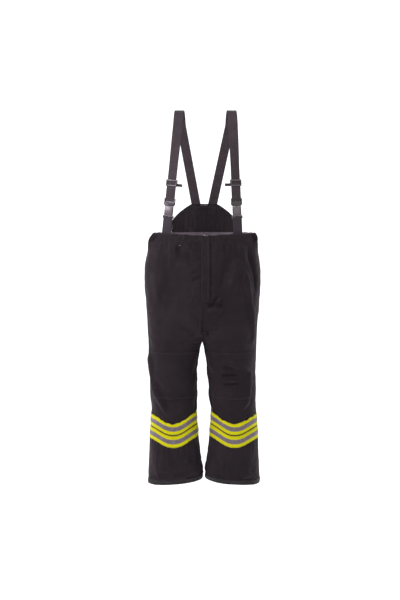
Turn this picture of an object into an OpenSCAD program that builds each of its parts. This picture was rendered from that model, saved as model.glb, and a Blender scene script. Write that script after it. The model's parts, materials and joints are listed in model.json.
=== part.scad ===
// Firefighter's over-trousers with braces, hanging from the two shoulder arcs of the braces.
// Heights are worked out above the lowest edge of the hems, then the whole is hung from the origin,
// which lies between the shoulder arcs at the underside of the webbing. The front faces -Y.

/* [Trousers] */
// Height of the waistband's top edge above the hems
waist_h = 1090; // [1080:1:1100]
// Half the width at the waistband's top edge
waist_side = 219; // [210:1:225]
// Half the width at the seam under the waistband
seam_side = 233; // [228:1:240]
// Half the width at the hips
hip_side = 246; // [240:1:255]
// Half the width at the knees
knee_side = 228; // [224:1:234]
// Half the width at the hems
hem_side = 243; // [236:1:248]
// Depth of the front at the waist
front_d = 112; // [108:1:116]
// Depth of the back at the waist
back_d = 112; // [108:1:116]
// Height of the waistband
band_h = 36; // [34:1:40]
// How far the waistband's top edge dips at the centre front
waist_dip = 8; // [0:1:12]
// Fullness of the cross-section, 2 for an ellipse
fullness = 2.3; // [2.1:0.1:2.5]

/* [Layers] */
// Thickness of the outer shell
shell_t = 2; // [1.6:0.1:2]
// Thickness of the moisture barrier
barrier_t = 1; // [0.8:0.1:1]
// Thickness of the thermal liner
liner_t = 3; // [2:0.1:3]

/* [Reflective trim] */
// Width of each band of trim
trim_w = 50; // [46:1:52]
// Width of the silver strip on it
silver_w = 20; // [14:1:26]
// Height of the gap between the two bands at the side seam
trim_side_h = 254; // [246:1:260]
// How far the bands rise from the side seam to the inseam
trim_rise = 8; // [0:1:14]
// How far the bands dip at the front of the leg
trim_dip = 33; // [0:1:36]
// Gap between the two bands
trim_gap = 5; // [3:1:6]

/* [Fly] */
// Length of the fly flap
flap_l = 277; // [260:1:280]
// Width of the fly flap
flap_w = 36; // [34:1:38]
// Distance of the zip's centre from the middle plane, towards the flap's sewn edge
zip_x = 8; // [7:0.5:9]
// Distance between one zip tooth and the next
tooth_pitch = 4; // [4:0.5:6]

/* [Braces] */
// Width of the webbing
web_w = 40; // [36:1:40]
// Thickness of the webbing
web_t = 1.8; // [1.4:0.1:1.8]
// Height of the shoulder arcs above the hems
shoulder_h = 1613; // [1590:1:1640]
// Radius of the shoulder arcs
shoulder_r = 60; // [50:1:70]
// Height of the bib's top edge above the hems
bib_top_h = 1213; // [1200:1:1225]

/* [Hidden] */

right = -1;
left = 1;
front = -1;
back = 1;
eps = 0.01;

// ---- body lines: [height above the hems, distance] ----
crotch_h = 622;
fly_foot_h = 800;
fly_lean = 0.055;          // the centre front runs outwards by this much of every millimetre down
top_h = waist_h - band_h;  // the seam under the waistband
seam_half = 0.15;          // half of every gap between neighbouring panels
fly_gap = 7.5;             // half of the gap between the front panels along the zip
liner_gap = 28;            // half of the gap between the liners along the zip

function fly_depth(h) = front_d + (waist_h - h) * fly_lean;

side_line = [
    [0, hem_side], [170, hem_side - 5], [290, knee_side + 2], [390, knee_side], [540, knee_side + 2],
    [650, knee_side + 7], [790, hip_side - 3], [918, hip_side], [top_h, seam_side], [waist_h, waist_side]
];
inner_line = [
    [0, 10], [90, 16], [170, 22], [290, 31], [370, 30], [450, 25], [540, 17], [crotch_h, seam_half],
    [waist_h, seam_half]
];
front_line = [
    [0, 84], [220, 88], [380, 98], [540, 110], [crotch_h, 120], [700, fly_depth(700)],
    [790, fly_depth(790)], [waist_h, fly_depth(waist_h)]
];
back_line = [
    [0, 86], [220, 90], [380, 94], [540, 112], [crotch_h, 126], [790, 140], [918, 138],
    [top_h, 118], [waist_h, back_d]
];

// Smooth reading of a line at height h: a cubic between stations, with slopes from the neighbours
function station(line, h, i = 0) =
    i >= len(line) - 2 || h < line[i + 1][0] ? i : station(line, h, i + 1);
function slope(line, i) =
    let (a = line[max(0, i - 1)], b = line[min(len(line) - 1, i + 1)]) (b[1] - a[1]) / (b[0] - a[0]);
function at(line, h) =
    let (
        i = station(line, h),
        span = line[i + 1][0] - line[i][0],
        s = min(1, max(0, (h - line[i][0]) / span))
    )
    line[i][1] * (1 + 2 * s) * pow(1 - s, 2) + line[i + 1][1] * s * s * (3 - 2 * s)
    + span * (slope(line, i) * s * pow(1 - s, 2) - slope(line, i + 1) * s * s * (1 - s));

// ---- cross-sections of half the trousers, on the +X side ----
// Below the crotch each section is a whole leg. Above it the section's centre slides to the middle
// plane, so the leg's ring opens into half of the waist's ring along the curved crotch seam.
crotch_rise = [170, 230];  // height over which the front and the back open
function rise_of(face) = face < 0 ? crotch_rise[0] : crotch_rise[1];
function centre_x(h, face) =
    h <= crotch_h
        ? (at(side_line, h) + at(inner_line, h)) / 2
        : at(side_line, h) / 2 * pow(max(0, 1 - (h - crotch_h) / rise_of(face)), 1.4);
function depth_at(h, face) = at(face < 0 ? front_line : back_line, h);

// Signed power, for the rounded cross-section
function soft(v, p) = sign(v) * pow(abs(v), p);
function end_angle(h, face, off, edge_x) =
    let (c = (centre_x(h, face) - edge_x) / (at(side_line, h) - centre_x(h, face) + off))
    acos(-soft(max(-1, min(1, c)), fullness / 2));

// The point of a section: turn runs from -1 at the centre front or front inseam, through 0 at the
// side seam, to 1 at the back; off is the distance outside the shell's outer face.
function section(h, turn, off, edge_x, seam = 0) =
    let (
        face = turn < 0 ? front : back,
        cx = centre_x(h, face),
        a = abs(turn) * end_angle(h, face, off, edge_x)
    )
    [
        cx + (at(side_line, h) - cx + off) * soft(cos(a), 2 / fullness),
        face * (seam + (depth_at(h, face) + off) * soft(max(0, sin(a)), 2 / fullness))
    ];

// Angle round the leg, 0 at the side seam and 180 at the inseam
function leg_angle(turn) = abs(turn) * 180;

// ---- skins: a closed sheet between two equal grids of points ----
function flat_list(rows) = [for (row = rows) for (p = row) p];
module skin(outer, inner) {
    n = len(outer[0]);
    m = len(outer);
    total = n * m;
    function o(i, j) = i * n + j;
    function q(i, j) = total + i * n + j;
    sheet_faces = [
        for (i = [0:m - 2]) for (j = [0:n - 2]) each [
            [o(i, j), o(i + 1, j), o(i + 1, j + 1)], [o(i, j), o(i + 1, j + 1), o(i, j + 1)],
            [q(i, j), q(i + 1, j + 1), q(i + 1, j)], [q(i, j), q(i, j + 1), q(i + 1, j + 1)]
        ]
    ];
    long_edges = [
        for (i = [0:m - 2]) each [
            [o(i, 0), q(i, 0), q(i + 1, 0)], [o(i, 0), q(i + 1, 0), o(i + 1, 0)],
            [o(i, n - 1), q(i + 1, n - 1), q(i, n - 1)], [o(i, n - 1), o(i + 1, n - 1), q(i + 1, n - 1)]
        ]
    ];
    short_edges = [
        for (j = [0:n - 2]) each [
            [o(0, j), q(0, j + 1), q(0, j)], [o(0, j), o(0, j + 1), q(0, j + 1)],
            [o(m - 1, j), q(m - 1, j), q(m - 1, j + 1)], [o(m - 1, j), q(m - 1, j + 1), o(m - 1, j + 1)]
        ]
    ];
    polyhedron(concat(flat_list(outer), flat_list(inner)), concat(sheet_faces, long_edges, short_edges));
}

function steps(a, b, n) = [for (i = [0:n]) a + (b - a) * i / n];

// Everything is drawn above the hems and hung from the origin. The right side mirrors the left.
rest_h = shoulder_h - web_t;
module hung() translate([0, 0, -rest_h]) children();
module on_side(side) {
    if (side == left) children();
    else mirror([1, 0, 0]) children();
}

// ---- shell, barrier and liner ----
hem_lift = 20;   // the hems rise from the side seam to the inseam
hem_reach = 170; // height over which that rise fades out
leg_levels = [
    0, 60, 120, 180, 240, 300, 360, 420, 480, 540, 590, 620, 622.5, 626, 633, 645, 665, 695,
    735, 785, 800, 850, 918, 985
];
shell_levels = concat(leg_levels, [top_h - seam_half]);
liner_levels = concat(leg_levels, [top_h - 20]);
leg_steps = 14;

function hem_rise(h, turn) =
    hem_lift * (1 - cos(leg_angle(turn))) / 2 * max(0, 1 - h / hem_reach);
function fly_edge(h, side, gap) =
    h < fly_foot_h - 1 ? seam_half : (gap == fly_gap ? gap + side * zip_x : gap);
function panel_grid(levels, turns, off, side, gap, seam, lift = 0) = [
    for (h = levels) [
        for (turn = turns)
            let (p = section(h, turn, off, turn < 0 ? fly_edge(h, side, gap) : seam_half, seam))
            [p[0], p[1], h + hem_rise(h, turn) + lift * max(0, 1 - h / hem_reach)]
    ]
];
module panel(side, turns, levels, out, thick, gap, seam, lift = 0) {
    hung() on_side(side) skin(
        panel_grid(levels, turns, out, side, gap, seam, lift),
        panel_grid(levels, turns, out - thick, side, gap, seam, lift)
    );
}

shell_color = [0.13, 0.11, 0.15];
module outer_front(side) {
    color(shell_color) panel(side, steps(-1, -eps / 10, leg_steps), shell_levels, 0, shell_t,
        fly_gap, seam_half);
}
module outer_back(side) {
    color(shell_color) panel(side, steps(eps / 10, 1, leg_steps), shell_levels, 0, shell_t,
        fly_gap, seam_half);
}
barrier_out = -(shell_t + 1.5);
liner_out = barrier_out - barrier_t - 0.8;
liner_lift = 14;  // the inner layers stop this far above the shell's hem
inner_turns = steps(-0.993, 0.993, 2 * leg_steps);  // an inner layer's inseam stays a little open
module moisture_barrier(side) {
    color([0.75, 0.72, 0.6]) panel(side, inner_turns, liner_levels, barrier_out, barrier_t,
        liner_gap, 0, liner_lift);
}
module thermal_liner(side) {
    color([0.8, 0.68, 0.3]) panel(side, inner_turns, liner_levels, liner_out, liner_t,
        liner_gap, 0, liner_lift);
}

// ---- waistband ----
band_out = 1;
band_in = 2.5;
elastic_turn = 0.32;  // the gathered stretch reaches this share of the way round from the side seam
turn_gap = 0.003;
function dip_at(x) = waist_dip * max(0, 1 - abs(x) / 130);
function band_grid(turns, off, side, gap, low, high) = [
    for (s = [0, 0.5, 1]) [
        for (turn = turns)
            let (
                h = low + s * (high - low),
                edge = turn < 0 ? gap + (gap == fly_gap ? side * zip_x : 0) : seam_half,
                p = section(h, turn, off, edge)
            )
            [p[0], p[1], h - s * (turn < 0 ? dip_at(p[0]) : 0)]
    ]
];
module band_piece(side, turns, out, thick, gap = fly_gap, low = top_h, high = waist_h) {
    hung() on_side(side) skin(
        band_grid(turns, out, side, gap, low, high),
        band_grid(turns, out - thick, side, gap, low, high)
    );
}
module waistband_front(side) {
    color([0.15, 0.13, 0.17]) band_piece(side, steps(-1, -elastic_turn - turn_gap, 8), band_out,
        band_out + band_in);
}
module waistband_back() {
    for (side = [right, left])
        color([0.15, 0.13, 0.17]) band_piece(side, steps(elastic_turn + turn_gap, 1, 8), band_out,
            band_out + band_in);
}
module side_elastic(side) {
    color([0.17, 0.15, 0.19]) band_piece(side, steps(-elastic_turn, elastic_turn, 8), band_out,
        band_out + band_in);
}
facing_t = 1.4;
facing_gap = 1.3;
module waist_facing() {
    for (side = [right, left])
        color([0.36, 0.33, 0.37]) band_piece(side, steps(-1, 1, 28), -band_in - facing_gap, facing_t,
            liner_gap, top_h - 14, waist_h - 1.5);
}

// ---- pieces sewn round the legs ----
dip_round = 1.9;  // the larger, the rounder the foot of the dip
dip_sharp = 2.6;  // the larger, the straighter its two sides
function trim_h(turn) =
    trim_side_h + trim_rise * (1 - cos(leg_angle(turn))) / 2
    - (turn < 0 ? trim_dip : 0) * pow(1 - pow(abs(cos(leg_angle(turn))), dip_round), dip_sharp);
turn_ends = 0.004;
function ring_grid(off, low, high, ends = 1 - turn_ends) = [
    for (rise = [low, (low + high) / 2, high]) [
        for (turn = steps(-ends, ends, 2 * leg_steps))
            let (h = trim_h(turn) + rise, p = section(h, turn, off, 0))
            [p[0], p[1], h]
    ]
];
module leg_ring(side, out, thick, low, high) {
    hung() on_side(side) skin(ring_grid(out, low, high), ring_grid(out - thick, low, high));
}
trim_out = 1.4;
trim_t = 0.8;
silver_out = 2.2;
silver_t = 0.6;
module trim(side, place) {
    low = place > 0 ? trim_gap / 2 : -trim_gap / 2 - trim_w;
    color([0.76, 0.75, 0.06]) leg_ring(side, trim_out, trim_t, low, low + trim_w);
}
module silver(side, place) {
    low = place * (trim_gap + trim_w) / 2 - silver_w / 2;
    color([0.62, 0.58, 0.68]) leg_ring(side, silver_out, silver_t, low, low + silver_w);
}
guard_h = 22;
module hem_guard(side) {
    levels = [0, guard_h / 2, guard_h];
    turns = steps(-1 + turn_ends, 1 - turn_ends, 2 * leg_steps);
    color([0.1, 0.1, 0.11]) panel(side, turns, levels, 1.4, 0.8, seam_half, 0);
}
pad_levels = [408, 445, 495, 545, 582];
knee_levels = concat([390], pad_levels, [600]);
module knee_patch(side) {
    color([0.12, 0.1, 0.13]) panel(side, steps(-0.9, -0.1, 10), knee_levels, 4.6, 1.2, seam_half, 0);
}
module knee_pad(side) {
    color([0.3, 0.3, 0.32]) panel(side, steps(-0.82, -0.18, 8), pad_levels, 3, 1.4, seam_half, 0);
}

// ---- bib on the back waistband ----
bib_base = 146;     // half its width where it leaves the waistband
bib_shoulder = 142; // half its width at the foot of the curved edges
bib_peak = 55;      // half its width at the top edge
bib_slant_h = waist_h + 36;
bib_curve = 1.6;    // roundness of the curved edges
bib_t = 2;
lining_t = 1.2;
bib_lean = 0.05;
function bib_half(h) =
    h < bib_slant_h
        ? bib_base + (bib_shoulder - bib_base) * (h - waist_h) / (bib_slant_h - waist_h)
        : bib_shoulder + (bib_peak - bib_shoulder)
            * pow((h - bib_slant_h) / (bib_top_h - bib_slant_h), bib_curve);
function bib_y(x, h, off) =
    (back_d + off) * pow(1 - pow(abs(x) / (waist_side + off), fullness), 1 / fullness)
    - (h - waist_h) * bib_lean;
bib_inset = 6.5;    // the layers stop this far inside the bound edge
strap_gap = 0.7;    // room between the bib and the webbing sewn inside it
bib_levels = concat(steps(waist_h + 0.3, bib_slant_h, 2), steps(bib_slant_h + 8, bib_top_h - 4, 8));
function bib_grid(off, inset, foot) = [
    for (h = bib_levels) [
        for (u = steps(-1, 1, 16))
            let (x = u * (bib_half(h) - inset))
            [x, bib_y(x, h, off), h + (h < bib_slant_h - 20 ? foot : 0)]
    ]
];
module back_bib() {
    color([0.1, 0.09, 0.11]) hung() skin(bib_grid(0, bib_inset, 0), bib_grid(-bib_t, bib_inset, 0));
}
lining_out = -bib_t - web_t - 2 * strap_gap;
module bib_lining() {
    color([0.14, 0.12, 0.14]) hung()
        skin(bib_grid(lining_out, bib_inset, 1), bib_grid(lining_out - lining_t, bib_inset, 1));
}
binding_w = 4;
binding_t = 5;
binding_stop = 8;   // the side bindings end this far below the top, where the webbing comes out
binding_levels = concat(
    steps(waist_h + 2, bib_slant_h, 2), steps(bib_slant_h + 10, bib_top_h - binding_stop, 8)
);
function bib_edge(side) = [
    for (h = binding_levels) let (x = side * (bib_half(h) - 2)) [x, bib_y(x, h, -bib_t), h]
];
top_edge = [for (x = steps(13, -13, 4)) [x, bib_y(x, bib_top_h - 2, -bib_t), bib_top_h - 2]];

// ---- ribbons and cords along a path ----
function unit(v) = v / norm(v);
function tangent(path, i) = unit(path[min(len(path) - 1, i + 1)] - path[max(0, i - 1)]);
// Four corners at each point of the path: facing is the direction that the flat side looks in
function ribbon_ring(path, facing, i, w, t) =
    let (
        d = tangent(path, i),
        across = unit(cross(facing[i], d)),
        out = unit(cross(d, across)),
        c = path[i]
    )
    [for (s = [[-1, -1], [1, -1], [1, 1], [-1, 1]]) c + across * s[0] * w / 2 + out * s[1] * t / 2];
module ribbon(path, facing, w, t) {
    rings = [for (i = [0:len(path) - 1]) ribbon_ring(path, facing, i, w, t)];
    last = 4 * (len(path) - 1);
    sides = [
        for (i = [0:len(path) - 2]) for (k = [0:3])
            let (a = 4 * i + k, b = 4 * i + (k + 1) % 4)
            each [[a, a + 4, b + 4], [a, b + 4, b]]
    ];
    caps = [[0, 1, 2], [0, 2, 3], [last, last + 2, last + 1], [last, last + 3, last + 2]];
    polyhedron(flat_list(rings), concat(sides, caps));
}
module bib_binding() {
    color([0.08, 0.07, 0.09]) hung() for (path = [bib_edge(left), bib_edge(right), top_edge])
        ribbon(path, [for (p = path) [0, 1, 0]], binding_w, binding_t);
}

// ---- braces ----
// Where each brace crosses: the front and rear ends of its shoulder arc, and its two feet
brace_x = [[112, 161, 100, 36], [120, 141, 110, 36]];  // right, then left
yaw = 20;        // the front hardware turns with the body by this much
tab_inset = 13;  // the tab is sewn this far inside the waistband's outer face
function brace_of(side) = brace_x[side == right ? 0 : 1];
arc_h = shoulder_h - web_t / 2 - shoulder_r;
function waist_front_y(x) =
    -front_d * pow(1 - pow(x / waist_side, fullness), 1 / fullness);
function foot_of(side) =
    let (x = brace_of(side)[1]) [x, waist_front_y(x) + tab_inset, waist_h];
function shoulder_front(side) = [brace_of(side)[0], -shoulder_r, arc_h];
function up_of(side) = unit(shoulder_front(side) - foot_of(side));
function tilt_x(side) = asin(-up_of(side)[1]);
function tilt_y(side) = atan2(up_of(side)[0], up_of(side)[2]);

// Stands its children on the brace's foot: local Z runs up the webbing, -Y looks outwards
module on_brace(side) {
    hung() on_side(side) translate(foot_of(side)) rotate([tilt_x(side), tilt_y(side), 0])
        rotate([0, 0, yaw]) children();
}

// Places along the front of a brace, measured up from the foot
bar_l = 70;        // centre of the female half's webbing bar
mouth_l = 114;     // top of the female half
block_l = [114.6, 149];
strap_end_l = 187;
adjuster_l = 214;
loop_top_l = 227;
layer = web_t / 2 + 0.5 + web_t / 2;  // distance between the middles of two layers of webbing
gap_t = 0.3;

bib_tuck = 40;
function rear_foot(side) =
    let (x = brace_of(side)[3], h = bib_top_h - 4) [x, bib_y(x, h, -bib_t - strap_gap - web_t / 2), h];
function strap_path(side) =
    let (
        b = brace_of(side),
        foot = rear_foot(side),
        tuck_x = foot[0] - 5,
        tuck_h = bib_top_h - bib_tuck,
        tucked = [tuck_x, bib_y(tuck_x, tuck_h, -bib_t - strap_gap - web_t / 2), tuck_h],
        rear = [b[2], shoulder_r, arc_h],
        low = foot_of(side) + up_of(side) * strap_end_l
    )
    concat(
        [tucked, foot], [for (s = [0.25, 0.5, 0.75]) foot + (rear - foot) * s],
        [for (a = [0:15:180]) [b[2] + (b[0] - b[2]) * a / 180, shoulder_r * cos(a),
            arc_h + shoulder_r * sin(a)]],
        [for (s = [0.25, 0.5, 0.75, 1]) shoulder_front(side) + (low - shoulder_front(side)) * s]
    );
// The bib's own slope across at the brace, which the webbing inside it follows
function bib_slope(side) =
    let (x = brace_of(side)[3]) (bib_y(x - 5, bib_top_h, 0) - bib_y(x + 5, bib_top_h, 0)) / 10;
function strap_facing(side) =
    concat(
        [for (s = [1, 1, 0.7, 0.4, 0.1]) [bib_slope(side) * s, 1, bib_lean * s]],
        [for (a = [0:15:180]) [0, cos(a), sin(a)]],
        [for (s = [0.25, 0.5, 1, 1]) [sin(yaw * s), -cos(yaw * s), 0]]
    );
module brace_strap(side) {
    color([0.2, 0.17, 0.2]) hung() on_side(side)
        ribbon(strap_path(side), strap_facing(side), web_w, web_t);
}

// A plate standing in the XZ plane: an outline pulled t thick, centred on Y at y
module plate(t, y = 0) {
    translate([0, y + t / 2, 0]) rotate([90, 0, 0]) linear_extrude(t) children();
}
module block(x, y, z) {
    translate([x[0], y[0], z[0]]) cube([x[1] - x[0], y[1] - y[0], z[1] - z[0]]);
}

// Slider of two front bars and one set-back bar, with rails that leave room for three layers
adj_half = [24.5, 14];
adj_room = layer + web_t / 2 + gap_t;
adj_bar_t = 2.4;
adj_front_bar = 6;    // height of each front bar
adj_back_bar = 3.5;   // half the height of the set-back bar
module adjuster(side) {
    rail_in = web_w / 2 + 0.6;
    depth = adj_room + adj_bar_t;
    color([0.09, 0.09, 0.1]) on_brace(side) translate([0, 0, adjuster_l]) {
        union() {
            for (s = [-1, 1]) block(
                s > 0 ? [rail_in, adj_half[0]] : [-adj_half[0], -rail_in],
                [-depth, depth], [-adj_half[1], adj_half[1]]
            );
            for (s = [-1, 1]) block(
                [-rail_in - 1, rail_in + 1], [-depth, -adj_room],
                s > 0 ? [adj_half[1] - adj_front_bar, adj_half[1]]
                    : [-adj_half[1], -adj_half[1] + adj_front_bar]
            );
            block([-rail_in - 1, rail_in + 1], [adj_room, depth], [-adj_back_bar, adj_back_bar]);
        }
    }
}

// Loose end of the webbing, folded out towards the middle behind the set-back bar
tail_l = 22;
tail_x = -4;
tail_z = [-13, -1];
module webbing_tail(side) {
    depth = adj_room + adj_bar_t + gap_t;
    color([0.17, 0.15, 0.17]) on_brace(side) translate([0, 0, adjuster_l])
        block([-adj_half[0] - tail_l, tail_x], [depth, depth + web_t], tail_z);
}

// Loop of webbing round the male half's top bar, one layer on each side of the strap's end
male_bar_l = 142;
male_slot_l = 135.6;  // foot of the slot that the webbing turns through
webbing_slot = web_w / 2 + 0.5;
turn_drop = 4.3;      // from the bar's top down to the webbing's turn
module webbing_loop(side) {
    far = layer + web_t / 2;
    near = layer - web_t / 2;
    turn_l = male_bar_l - turn_drop;
    color([0.19, 0.16, 0.19]) on_brace(side) translate([-web_w / 2, 0, 0])
        rotate([90, 0, 90]) linear_extrude(web_w) polygon([
            [-far, turn_l - web_t], [far, turn_l - web_t], [far, loop_top_l], [near, loop_top_l],
            [near, turn_l], [-near, turn_l], [-near, loop_top_l], [-far, loop_top_l]
        ]);
}

// Male half: a ladder block that holds the loop, and a centre tongue that guides it home
block_half = 24;
block_t = 9;
waist_r = 6;          // scallop in each side of the block
bar_half_t = 1.1;     // half the thickness of the bars that webbing turns round
tongue_half = 3;
tongue_l = 92;
prong_t = 5.2;
prong_tip_l = 86;
module buckle_male(side) {
    color([0.1, 0.1, 0.11]) on_brace(side) {
        difference() {
            plate(block_t) difference() {
                translate([-block_half, block_l[0]]) square([2 * block_half, block_l[1] - block_l[0]]);
                for (s = [-1, 1]) translate([s * block_half, block_l[0]]) circle(waist_r);
            }
            block([-webbing_slot, webbing_slot], [-block_t, block_t], [male_slot_l, male_bar_l]);
            for (s = [-1, 1])
                block([-webbing_slot, webbing_slot],
                    s > 0 ? [bar_half_t, block_t] : [-block_t, -bar_half_t],
                    [male_bar_l - 1, block_l[1] + 1]);
        }
        block([-tongue_half, tongue_half], [-prong_t / 2, prong_t / 2], [tongue_l, block_l[0] + 1]);
    }
}

// Prong: a springy arm that lies flush in the female half's side window
prong_x = [8.6, 14.3];
prong_root_l = 113.9;
catch_l = [91, 96];   // where the prong widens again to fill the window
neck_l = [98, 102];   // where it is thinned
neck_in = 1.6;
module prong(side, out) {
    color([0.12, 0.12, 0.13]) on_brace(side) mirror([out > 0 ? 0 : 1, 0, 0]) plate(prong_t)
        polygon([
            [prong_x[0], prong_root_l], [prong_x[1], prong_root_l], [prong_x[1], neck_l[1] + 2],
            [prong_x[1] - neck_in, neck_l[1]], [prong_x[1] - neck_in, neck_l[0]],
            [prong_x[1], catch_l[1]], [prong_x[1], catch_l[0]], [prong_x[0] + 2, prong_tip_l],
            [prong_x[0] + 1, prong_tip_l], [prong_x[0], catch_l[0] + 1]
        ]);
}

// Female half: a hollow case with a window each side, and the bar that the tab folds round
case_half = 18;
case_t = 11;
case_foot_l = 75;
hollow_half = 14.7;
hollow_t = 6;
hollow_foot_l = 82;
window_l = [88, 106];
base_half = [23.5, 3.6, 6];  // half the width, thickness and height of the wide base
module buckle_female(side) {
    color([0.3, 0.28, 0.3]) on_brace(side) difference() {
        union() {
            block([-case_half, case_half], [-case_t / 2, case_t / 2], [case_foot_l, mouth_l]);
            block([-base_half[0], base_half[0]], [-base_half[1], base_half[1]],
                [bar_l - base_half[2], bar_l + base_half[2]]);
        }
        block([-hollow_half, hollow_half], [-hollow_t / 2, hollow_t / 2],
            [hollow_foot_l, mouth_l + 1]);
        block([-case_half - 1, case_half + 1], [-hollow_t / 2, hollow_t / 2], window_l);
        block([-webbing_slot, webbing_slot], [-case_t / 2, case_t / 2], [bar_l - 2, bar_l + 4]);
        for (s = [-1, 1])
            block([-webbing_slot, webbing_slot],
                s > 0 ? [bar_half_t, case_t / 2] : [-case_t / 2, -bar_half_t],
                [bar_l - base_half[2] - 1, bar_l - 1]);
    }
}

// Tab: shell cloth folded round the bar, its two ends sewn inside the waistband
tab_foot_l = -26;
tab_rise = 3.7;       // from the bar's middle up to the top of the fold
module brace_tab(side) {
    far = layer + web_t / 2;
    near = layer - web_t / 2;
    top = bar_l + tab_rise;
    color([0.16, 0.14, 0.18]) on_brace(side) translate([-web_w / 2, 0, 0])
        rotate([90, 0, 90]) linear_extrude(web_w) polygon([
            [-far, tab_foot_l], [-far, top], [far, top], [far, tab_foot_l], [near, tab_foot_l],
            [near, top - web_t], [-near, top - web_t], [-near, tab_foot_l]
        ]);
}

// ---- fly ----
// The fly's frame starts at the waist's top edge: local Z runs up the straight centre front, local
// Y is 0 on the shell's outer face and grows inwards.
fly_tilt = -atan(fly_lean);
module on_fly() {
    hung() translate([0, -front_d, waist_h]) rotate([fly_tilt, 0, 0]) children();
}
flap_top_z = -10;
flap_x = 22;      // the sewn edge, which the flap turns about
flap_in = -2.4;
flap_t = 2;
corner_r = 12;
flap_edge = 0.3;  // clearance between the turning line and the flap's sewn edge
module flap_outline() {
    difference() {
        translate([flap_x - flap_edge - flap_w, flap_top_z - flap_l]) square([flap_w, flap_l]);
        translate([flap_x - flap_edge - flap_w, flap_top_z - flap_l]) difference() {
            translate([-1, -1]) square(corner_r + 1);
            translate([corner_r, corner_r]) circle(corner_r, $fn = 48);
        }
    }
}
module fly_flap() {
    color([0.11, 0.09, 0.11]) on_fly() plate(flap_t, flap_in - flap_t / 2) flap_outline();
}
zip_top_z = -14;
zip_foot_z = -283;
fastener_x = [-12, -2];
fastener_z = [flap_top_z - flap_l + 20, flap_top_z - 40];
hooks_y = [flap_in + 0.05, flap_in + 0.95];
loops_y = [-1.15, -0.45];
module flap_hooks() {
    color([0.07, 0.07, 0.08]) on_fly() block(fastener_x, hooks_y, fastener_z);
}
module fly_loops() {
    color([0.1, 0.1, 0.11]) on_fly() block(fastener_x, loops_y, fastener_z);
}
underlap_x = [-10, 25];
underlap_y = [6.6, 7.8];
module fly_underlap() {
    color([0.12, 0.1, 0.13]) on_fly() block(underlap_x, underlap_y, [zip_foot_z - 2, zip_top_z]);
}
tooth_w = 2.2;
slot_half = 0.6;
tape_y = [3.1, 3.9];
tape_w = 11;
teeth_y = [1.9, 4.1];
foot_stop = [2.7, 3];   // half the foot stop's width, and its height
module zip_tape(side) {
    near = slot_half + tooth_w + 0.1;
    color([0.06, 0.06, 0.07]) on_fly() translate([zip_x, 0, 0])
        block(side > 0 ? [near, near + tape_w] : [-near - tape_w, -near], tape_y,
            [zip_foot_z, zip_top_z]);
}
module zip_teeth() {
    count = floor((zip_top_z - zip_foot_z - 8) / tooth_pitch);
    color([0.72, 0.6, 0.32]) on_fly() for (i = [0:count - 1]) for (side = [right, left])
        translate([zip_x, 0, zip_foot_z + 5 + tooth_pitch * i + (side > 0 ? 0 : tooth_pitch / 2)])
            block(side > 0 ? [slot_half, slot_half + tooth_w] : [-slot_half - tooth_w, -slot_half],
                teeth_y, [0, tooth_pitch * 0.6]);
}
module zip_stops() {
    color([0.7, 0.6, 0.35]) on_fly() translate([zip_x, 0, 0]) {
        block([-foot_stop[0], foot_stop[0]], [1.5, 4.1], [zip_foot_z, zip_foot_z + foot_stop[1]]);
        for (s = [-1, 1])
            block(s > 0 ? [slot_half, slot_half + tooth_w] : [-slot_half - tooth_w, -slot_half],
                [1.4, 4.2], [zip_top_z - 1.5, zip_top_z]);
    }
}
slider_z = [-33, -19];
slider_half = 6;
post_half = 0.4;
lug_x = [4.4, 5.6];
pin_y = -0.9;
pin_z = -23;
pin_r = 0.5;
pin_bore_r = 0.56;
module zip_slider() {
    color([0.6, 0.6, 0.62]) on_fly() translate([zip_x, 0, 0]) difference() {
        union() {
            block([-slider_half, slider_half], [0.2, 1.3], slider_z);
            block([-slider_half, slider_half], [4.4, 5.5], slider_z);
            block([-post_half, post_half], [1.2, 4.5], slider_z);
            for (s = [-1, 1])
                block(s > 0 ? lug_x : [-lug_x[1], -lug_x[0]], [-1.75, 0.3], [pin_z - 2, pin_z + 2]);
        }
        translate([-8, pin_y, pin_z]) rotate([0, 90, 0]) cylinder(h = 16, r = pin_bore_r, $fn = 32);
    }
}
pull_l = 34;
pull_half = [4, 0.6];   // half the pull's width and thickness
pull_pin_half = 5.5;
module zip_pull() {
    color([0.5, 0.5, 0.52]) on_fly() translate([zip_x, pin_y, pin_z]) {
        translate([-pull_pin_half, 0, 0]) rotate([0, 90, 0])
            cylinder(h = 2 * pull_pin_half, r = pin_r, $fn = 32);
        difference() {
            union() {
                translate([-pull_half[0], 0, 0]) rotate([0, 90, 0])
                    cylinder(h = 2 * pull_half[0], r = pull_half[1], $fn = 32);
                block([-pull_half[0], pull_half[0]], [-pull_half[1], pull_half[1]], [-pull_l, 0]);
            }
            block([-2, 2], [-1, 1], [-pull_l + 3, -pull_l + 9]);
        }
    }
}

outer_front(right);  // outer_front_right
outer_front(left);  // outer_front_left
outer_back(right);  // outer_back_right
outer_back(left);  // outer_back_left
moisture_barrier(right);  // moisture_barrier_right
moisture_barrier(left);  // moisture_barrier_left
thermal_liner(right);  // thermal_liner_right
thermal_liner(left);  // thermal_liner_left
waistband_front(right);  // waistband_front_right
waistband_front(left);  // waistband_front_left
waistband_back();
side_elastic(right);  // side_elastic_right
side_elastic(left);  // side_elastic_left
waist_facing();
hem_guard(right);  // hem_guard_right
hem_guard(left);  // hem_guard_left
knee_patch(right);  // knee_patch_right
knee_patch(left);  // knee_patch_left
knee_pad(right);  // knee_pad_right
knee_pad(left);  // knee_pad_left
trim(right, 1);  // upper_trim_right
trim(left, 1);  // upper_trim_left
trim(right, -1);  // lower_trim_right
trim(left, -1);  // lower_trim_left
silver(right, 1);  // upper_silver_right
silver(left, 1);  // upper_silver_left
silver(right, -1);  // lower_silver_right
silver(left, -1);  // lower_silver_left
back_bib();
bib_lining();
bib_binding();
fly_flap();
flap_hooks();
fly_loops();
fly_underlap();
zip_tape(right);  // zip_tape_right
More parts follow.
